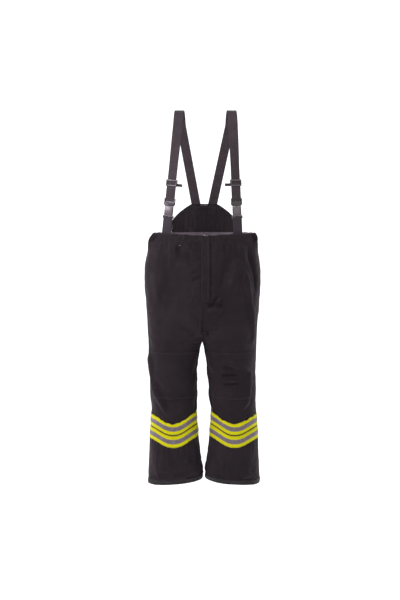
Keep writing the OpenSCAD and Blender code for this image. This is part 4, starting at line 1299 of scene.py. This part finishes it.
BINDING_OFF = (lining_off - 0.0012) / 2
straight_h = np.linspace(waist_h + 0.002, bib_slant_h, 6)
slanted_h = np.linspace(bib_slant_h + 0.004, bib_top_h, 26)
bib_edge_h = np.concatenate([straight_h, slanted_h])
right_edge = bib_point(-(bib_half(bib_edge_h) - 0.002), bib_edge_h, BINDING_OFF)
left_edge = bib_point(bib_half(bib_edge_h) - 0.002, bib_edge_h, BINDING_OFF)
top_edge = bib_point(np.linspace(BIB_PEAK - 0.008, -BIB_PEAK + 0.008, 14),
                     np.full(14, bib_top_h - 0.0015), BINDING_OFF)
binding_route = np.concatenate([left_edge, top_edge, right_edge[::-1]])
for _ in range(3):
    binding_route[1:-1] = (binding_route[:-2] + binding_route[1:-1] * 2 + binding_route[2:]) / 4
verts, faces = sweep(binding_route, np.tile([0, 1.0, 0], (len(binding_route), 1)),
                     round_profile(0.0055, 0.0078, 7))
binding_run = run_along(binding_route)
binding_uv = np.stack([np.tile(np.linspace(0, 0.02, 14), len(binding_route)),
                       np.repeat(binding_run, 14)], -1)
place_piece("bib_binding", mesh_from("bib_binding", verts, faces, binding_uv), bib_cloth,
            replaces=["bib_binding"], slot="binding_tape")


def bib_stitches():
    rows = []
    for inset in (0.010, 0.0155):
        h = np.linspace(waist_h + 0.004, bib_top_h - inset, 160)
        for side in (RIGHT, LEFT):
            rows.append((side * (bib_half(h) - inset), h))
        x = np.linspace(-BIB_PEAK + inset, BIB_PEAK - inset, 60)
        rows.append((x, np.full(60, bib_top_h - inset + 0.001)))
    for x in BRACE_REAR_X.values():
        for dx in (-0.0165, 0.0165):
            rows.append((np.full(50, x + dx * 0.98), np.linspace(bib_top_h - 0.040, bib_top_h - 0.008, 50)))
        rows.append((np.linspace(x - 0.0165, x + 0.0165, 30), np.full(30, bib_top_h - 0.040)))
        rows.append((np.linspace(x - 0.0165, x + 0.0165, 40),
                     np.linspace(bib_top_h - 0.040, bib_top_h - 0.010, 40)))
        rows.append((np.linspace(x + 0.0165, x - 0.0165, 40),
                     np.linspace(bib_top_h - 0.040, bib_top_h - 0.010, 40)))
    made = []
    for face_off, out in ((lining_off - 0.0024, -1), (0.0004, 1)):
        for x, h in rows:
            path = bib_point(x, h, face_off)
            made.append(sew_path(path, [0, float(out), 0]))
    return made


sewn("bib_stitches", bib_stitches(), navy_thread, slot="bib_cloth")
print("bib made between heights", round(bib_low, 3), "and", round(bib_high, 3))

# %% [markdown]
# ## The fly
# The flap is two layers of shell cloth, sewn along one edge and free along the other, with a turned
# edge and two rows of stitches. It turns with the flap body, so everything on it rides there.
# Its frame is the straight line of the centre front, which leans out by a few degrees.

# %% Fly flap and what lies behind it
flap_joint = next(j for j in frame["joints"] if j["name"] == "flap_turn")
fly_up = np.array(flap_joint["axis"])
fly_up /= np.linalg.norm(fly_up)
fly_in = np.cross(fly_up, [1, 0, 0])
fly_zero = np.array([0, -front_d, hem_z + waist_h])


def fly_point(x, depth, up):
    """A point of the fly: x across, depth inwards from the shell's face, up along the centre front."""
    x, depth, up = np.broadcast_arrays(*(np.asarray(v, float) for v in (x, depth, up)))
    return fly_zero + x[..., None] * np.array([1.0, 0, 0]) + depth[..., None] * fly_in + up[...,
            None] * fly_up


FLAP_L, FLAP_W, FLAP_X, FLAP_TOP, CORNER_R = 0.277, 0.036, 0.0217, -0.010, 0.012


def flap_left(up):
    """The free edge, rounded into the foot."""
    foot = FLAP_TOP - FLAP_L
    near = np.clip((up - foot) / CORNER_R, 0, 1)
    return FLAP_X - FLAP_W + CORNER_R * (1 - np.sqrt(np.clip(1 - (1 - near) ** 2, 0, 1)))


def flap_grids(depth_out, depth_in):
    up = FLAP_TOP - FLAP_L + FLAP_L * np.concatenate([np.linspace(0, 0.045, 14), np.linspace(0.05, 1, 110)])
    u = np.linspace(0, 1, 25)[None, :]
    left = flap_left(up)[:, None]
    x = left + (FLAP_X - left) * u
    up = np.broadcast_to(up[:, None], x.shape)
    from_free, from_sewn = x - left, FLAP_X - x
    hem = 0.00055 * (np.exp(-((from_free - 0.0035) / 0.003) ** 2)
                            + np.exp(-((from_sewn - 0.0035) / 0.003) ** 2))
    wave = 0.0007 * np.sin(up * 46 + 1) * np.clip(from_sewn / 0.03, 0, 1) + 0.0004 * np.sin(up * 130)
    edge = 0.0006 * (np.exp(-(from_free / 0.0012) ** 2) + np.exp(-(from_sewn / 0.0012) ** 2))
    outer = fly_point(x, depth_out - hem + wave * 0.5 + edge, up)
    inner = fly_point(x, depth_in + wave * 0.2, up)
    return outer, inner, np.stack([x, up], -1)


outer, inner, uv = flap_grids(-0.0044, -0.0026)
flap = cloth_skin("fly_flap", outer, inner, uv, shell_cloth, body="flap", replaces=["fly_flap"],
                  slot="shell_cloth")


def fly_stitches():
    rows = []
    up = np.linspace(FLAP_TOP - FLAP_L + CORNER_R, FLAP_TOP - 0.004, 180)
    for x in (FLAP_X - 0.0030, FLAP_X - 0.0075):
        rows.append((np.full(180, x), up))
    rows.append((np.full(180, FLAP_X - FLAP_W + 0.004), up))
    rows.append((np.linspace(FLAP_X - FLAP_W + 0.010, FLAP_X - 0.003, 30),
                 np.full(30, FLAP_TOP - FLAP_L + 0.005)))
    made = []
    for x, u in rows:
        path = fly_point(x, np.full(len(x), -0.0049), u)
        made.append(sew_path(path, -fly_in))
    return made


sewn("flap_stitches", fly_stitches(), navy_thread, body="flap")

# %% [markdown]
# ## Hardware from the frame
# Moulded and cast pieces keep the frame's exact shape, but nothing moulded has a knife edge. Each is
# copied, its flat faces joined, and every edge rounded by a small bevel that catches the light.

# %% Rounded copies of the frame's hard pieces


def across_and_up(name):
    """Directions across and up a piece that hangs on a brace, from the frame's joints."""
    side_name = "right" if name.endswith("right") else "left"
    slide = next(j for j in frame["joints"] if j["name"] == f"adjuster_slide_{side_name}")
    up = Vector(slide["axis"]).normalized()
    squeeze = next(j for j in frame["joints"] if j["name"] == f"prong_squeeze_{side_name}")
    out = Vector(squeeze["axis"]).normalized()
    return out.cross(up).normalized(), up


def rounded(node, material, body, slot, bevel, segments=3, directions=None):
    """The frame's own piece with its edges rounded by the bevel, in metres."""
    mesh = frame["nodes"][node].data.copy()
    mesh.name = node
    bm = bmesh.new()
    bm.from_mesh(mesh)
    bmesh.ops.remove_doubles(bm, verts=bm.verts, dist=1e-6)
    bmesh.ops.dissolve_limit(bm, angle_limit=0.05, verts=bm.verts, edges=bm.edges)
    bmesh.ops.recalc_face_normals(bm, faces=bm.faces)
    sharp = [e for e in bm.edges if len(e.link_faces) == 2 and e.calc_face_angle(0) > 0.6]
    bmesh.ops.bevel(bm, geom=sharp, offset=bevel, offset_type="OFFSET", segments=segments, profile=0.5,
                    affect="EDGES", clamp_overlap=True)
    bm.to_mesh(mesh)
    bm.free()
    mesh.materials.clear()
    across, up = directions or (Vector((1, 0, 0)), Vector((0, 0, 1)))
    layer = mesh.uv_layers.new(name="cloth") if not mesh.uv_layers else mesh.uv_layers[0]
    for loop in mesh.loops:
        co = mesh.vertices[loop.vertex_index].co
        layer.data[loop.index].uv = (co.dot(across), co.dot(up))
    mesh.polygons.foreach_set("use_smooth", [True] * len(mesh.polygons))
    place_piece(node, mesh, material, body=body, replaces=[node], slot=slot)


# The buckle cases and adjuster bars carry painted highlight in their colour
HARD = [("adjuster", "adjuster", bar_plastic_painted_highlight, "adjuster_plastic", 0.0009),
        ("buckle_male", "buckle", block_plastic, "adjuster_plastic", 0.0007),
        ("buckle_female", "trousers", case_plastic, "case_plastic", 0.0008),
        ("prong_inner", "prong_inner", block_plastic, "adjuster_plastic", 0.0005),
        ("prong_outer", "prong_outer", block_plastic, "adjuster_plastic", 0.0005)]
WOVEN = [("webbing_loop", "buckle", webbing, "webbing", 0.0005),
         ("webbing_tail", "adjuster", webbing, "webbing", 0.0005),
         ("brace_tab", "trousers", tab_webbing, "shell_cloth", 0.0005)]
for side_name in SIDES:
    for name, body, material, slot, bevel in HARD + WOVEN:
        node = f"{name}_{side_name}"
        rounded(node, material, body if body == "trousers" else f"{body}_{side_name}", slot, bevel,
                directions=across_and_up(node))
for node, body, material, slot, bevel in (
        ("zip_slider", "zip_slider", slider_metal, "slider_metal", 0.0002),
        ("zip_pull", "zip_pull", slider_metal, "slider_metal", 0.0002),
        ("zip_teeth", "trousers", zip_brass, "zip_brass", 0.0003),
        ("zip_stops", "trousers", zip_brass, "zip_brass", 0.0003),
        ("zip_tape_right", "trousers", zip_cloth, "zip_cloth", 0.0002),
        ("zip_tape_left", "trousers", zip_cloth, "zip_cloth", 0.0002),
        ("flap_hooks", "flap", hook_tape, "hook_tape", 0.0002),
        ("fly_loops", "trousers", hook_tape, "hook_tape", 0.0001),
        ("fly_underlap", "trousers", underlap_cloth, "shell_cloth", 0.0004)):
    rounded(node, material, body, slot, bevel, segments=2)
print("hardware rounded and finished")

# %% [markdown]
# ## The braces
# Each brace is one length of webbing from the bib, over the shoulder and down to the adjuster. It is
# swept along its route with rounded edges, eight long ribs and a slight wave, since webbing under
# light load never hangs dead flat. The route repeats the frame's: two straight runs and an arc.

# %% Webbing swept over the shoulder
SHOULDER_R = 0.060
BRACE_X = {"right": (0.112, 0.100, 0.036), "left": (0.120, 0.110, 0.036)}


def webbing_profile():
    """Outline of the webbing: thicker selvedges and shallow ribs on both faces."""
    x = np.linspace(-WEB_W / 2, WEB_W / 2, 41)
    ribs = 0.00016 * np.cos(x / WEB_W * 2 * np.pi * 8)
    selvedge = 0.00018 * np.clip((np.abs(x) - WEB_W / 2 + 0.003) / 0.003, 0, 1)
    round_off = np.sqrt(np.clip(1 - (np.clip(np.abs(x) - (WEB_W / 2 - 0.0009), 0, 1) / 0.0009) ** 2, 0, 1))
    half = (WEB_T / 2 - 0.00015 + ribs + selvedge) * round_off
    half = np.maximum(half, 0.0001)
    return [(a, b) for a, b in zip(x, half)] + [(a, -b) for a, b in zip(x[::-1], half[::-1])]


def brace_route(side_name):
    """Points and facing directions of one brace, from the bib to its end under the adjuster."""
    side = SIDES[side_name]
    front_x, rear_x, foot_x = BRACE_X[side_name]
    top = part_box(f"brace_strap_{side_name}")[1].z
    arc_z = top - WEB_T / 2 - SHOULDER_R
    slide = next(j for j in frame["joints"] if j["name"] == f"adjuster_slide_{side_name}")
    up = np.array(slide["axis"]) / np.linalg.norm(slide["axis"])
    front_top = np.array([side * front_x, -SHOULDER_R, arc_z])
    squeeze = next(j for j in frame["joints"] if j["name"] == f"prong_squeeze_{side_name}")
    strap_end_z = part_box(f"webbing_loop_{side_name}")[0].z + 0.050
    front_end = front_top - up * ((front_top[2] - strap_end_z) / up[2])
    h_foot = bib_top_h - 0.004
    h_tuck = bib_top_h - 0.040
    off = -BIB_T - STRAP_GAP - WEB_T / 2
    foot = bib_point(np.array(side * foot_x), np.array(h_foot), off)
    tuck = bib_point(np.array(side * (foot_x - 0.005)), np.array(h_tuck), off)
    rear = np.array([side * rear_x, SHOULDER_R, arc_z])
    near, far = (bib_point(np.array(foot_x + d), np.array(bib_top_h), 0.0)[1] for d in (0.005, -0.005))
    slope = -(near - far) / 0.010 * side
    pts, facing_dirs = [tuck], [[slope, 1, BIB_LEAN]]
    for s in np.linspace(0, 1, 40)[:-1]:
        sag = 0.004 * math.sin(math.pi * s)
        pts.append(foot + (rear - foot) * s + np.array([0, sag, 0]))
        facing_dirs.append([slope * (1 - s), 1, BIB_LEAN * (1 - s)])
    for a in np.linspace(0, math.pi, 33):
        x = rear_x + (front_x - rear_x) * a / math.pi
        pts.append(np.array([side * x, SHOULDER_R * math.cos(a), arc_z + SHOULDER_R * math.sin(a)]))
        facing_dirs.append([0, math.cos(a), math.sin(a)])
    out = np.array(squeeze["axis"], float)
    out = out if out[1] < 0 else -out
    for s in np.linspace(0, 1, 34)[1:]:
        bow = 0.0025 * math.sin(math.pi * min(1, s * 1.5)) if s < 0.66 else 0.0
        blend = min(1, s * 1.6)
        direction = (1 - blend) * np.array([0, -1.0, 0]) + blend * out
        pts.append(front_top + (front_end - front_top) * s + np.array([0, -bow, 0]))
        facing_dirs.append(direction)
    return np.array(pts), np.array(facing_dirs, float)


for side_name in SIDES:
    pts, facing_dirs = brace_route(side_name)
    profile = webbing_profile()
    verts, faces = sweep(pts, facing_dirs, profile)
    run = run_along(pts)
    uv = np.stack([np.tile([p[0] for p in profile], len(pts)), np.repeat(run, len(profile))], -1)
    mesh = mesh_from(f"brace_strap_{side_name}", verts, faces, uv)
    place_piece(f"brace_strap_{side_name}", mesh, webbing, replaces=[f"brace_strap_{side_name}"],
                slot="webbing")
    print(f"brace_strap_{side_name}: {run[-1]:.3f} m of webbing")

# %% [markdown]
# ## Camera, light and floor
# The camera stands just above waist height, a few steps back, looking slightly down, so the hems and
# the trim curve away and the inside of the back shows over the dip of the waist. A broad light from
# the wearer's right brings out the cloth's lilac sheen on that leg.

# %% Camera
EYE_H, DISTANCE, EYE_X = 1.235, 3.80, -0.019
TILT, SHIFT, LENS = math.radians(4.21), -0.06, 52.9
camera = bpy.data.objects.new("camera", bpy.data.cameras.new("camera"))
bpy.context.scene.collection.objects.link(camera)
camera.location = (EYE_X, -DISTANCE, hem_z + EYE_H)
camera.rotation_euler = (math.pi / 2 - TILT, 0, 0)
camera.data.sensor_fit = "VERTICAL"
camera.data.sensor_height = 36
camera.data.lens = LENS
camera.data.shift_y = SHIFT
camera.data.clip_end = 60
bpy.context.scene.camera = camera
print(f"lens {LENS} mm, {DISTANCE} m in front, {math.degrees(TILT):.1f} degrees down")

# %% Floor, wall and lights


def plain_pale(y):
    return rgb(0.42, 0.42, 0.42), 0.9, None, 0.0


FRONT_GLOW = 0.22  # how bright the paper is in front of the garment, where it lights the cloth


def paper_glow(y):
    """White behind the garment, and dimmer in front of it so that it throws little light up the legs."""
    front_to_back = y.node("ShaderNodeTexCoord", out=3).part(1)
    front = rgb(FRONT_GLOW, FRONT_GLOW, FRONT_GLOW)
    return front_to_back.ramp(-1.1, -0.3).mix(front, rgb(1, 1, 1))


floor_finish = finish("studio_paper", plain_pale, specular=0.1)
paper_shader = floor_finish.node_tree.nodes["Principled BSDF"]
glow = paper_glow(Yarn(floor_finish.node_tree))
floor_finish.node_tree.links.new(glow.socket, paper_shader.inputs["Emission Color"])
paper_shader.inputs["Emission Strength"].default_value = 1.0

STUDIO_R, CURVE_R, STUDIO_H = 8.0, 2.0, 9.0
FLOOR_DROP = 0.45  # the garment hangs this far above the floor


def studio_paper():
    """A round floor that curves up into a wall on every side, so any view has the same ground."""
    line = [(r, 0.0) for r in np.linspace(0.4, STUDIO_R - CURVE_R, 12)]
    line += [(STUDIO_R - CURVE_R + CURVE_R * math.sin(a), CURVE_R * (1 - math.cos(a)))
             for a in np.linspace(0.12, math.pi / 2, 13)]
    line += [(STUDIO_R, STUDIO_H)]
    around = 72
    turns_round = np.linspace(0, 2 * math.pi, around, endpoint=False)
    floor_z = hem_z - FLOOR_DROP
    verts = [(0.0, 0.0, floor_z)]
    verts += [(r * math.cos(a), r * math.sin(a), floor_z + z) for r, z in line for a in turns_round]
    faces = [(0, 1 + k, 1 + (k + 1) % around) for k in range(around)]
    for i in range(len(line) - 1):
        low, high = 1 + i * around, 1 + (i + 1) * around
        for k in range(around):
            q = (k + 1) % around
            faces.append((low + k, high + k, high + q, low + q))
    mesh = mesh_from("studio_paper", verts, faces)
    obj = bpy.data.objects.new("studio_paper", mesh)
    mesh.materials.append(floor_finish)
    bpy.context.scene.collection.objects.link(obj)


studio_paper()


def soft_light(name, place, target, size, watts, colour=(1, 1, 1)):
    data = bpy.data.lights.new(name, "AREA")
    data.shape = "RECTANGLE"
    data.size, data.size_y = size
    data.energy = watts
    data.color = colour
    lamp = bpy.data.objects.new(name, data)
    bpy.context.scene.collection.objects.link(lamp)
    lamp.location = place
    lamp.rotation_euler = (Vector(target) - Vector(place)).to_track_quat("-Z", "Y").to_euler()
    lamp.visible_camera = False


mid_z = hem_z + 0.8
soft_light("key", (-1.9, -1.6, mid_z + 1.3), (0, 0, mid_z + 0.25), (1.1, 1.2), 52, (1.0, 0.88, 1.0))
soft_light("fill", (2.2, -2.5, mid_z + 1.0), (0, 0, mid_z + 0.1), (1.3, 1.6), 13, (1.0, 0.87, 0.88))
soft_light("top", (0, -0.9, mid_z + 2.4), (0, 0, mid_z), (2.0, 2.0), 18)
soft_light("back", (0.6, 2.6, mid_z + 1.2), (0, 0, mid_z), (1.6, 1.6), 16, (1.0, 0.9, 0.95))
world = bpy.data.worlds.new("studio")
bpy.context.scene.world = world
world.use_nodes = True
world.node_tree.nodes["Background"].inputs["Color"].default_value = (1, 1, 1, 1)
world.node_tree.nodes["Background"].inputs["Strength"].default_value = 0.12
bpy.context.scene.view_settings.view_transform = "Standard"
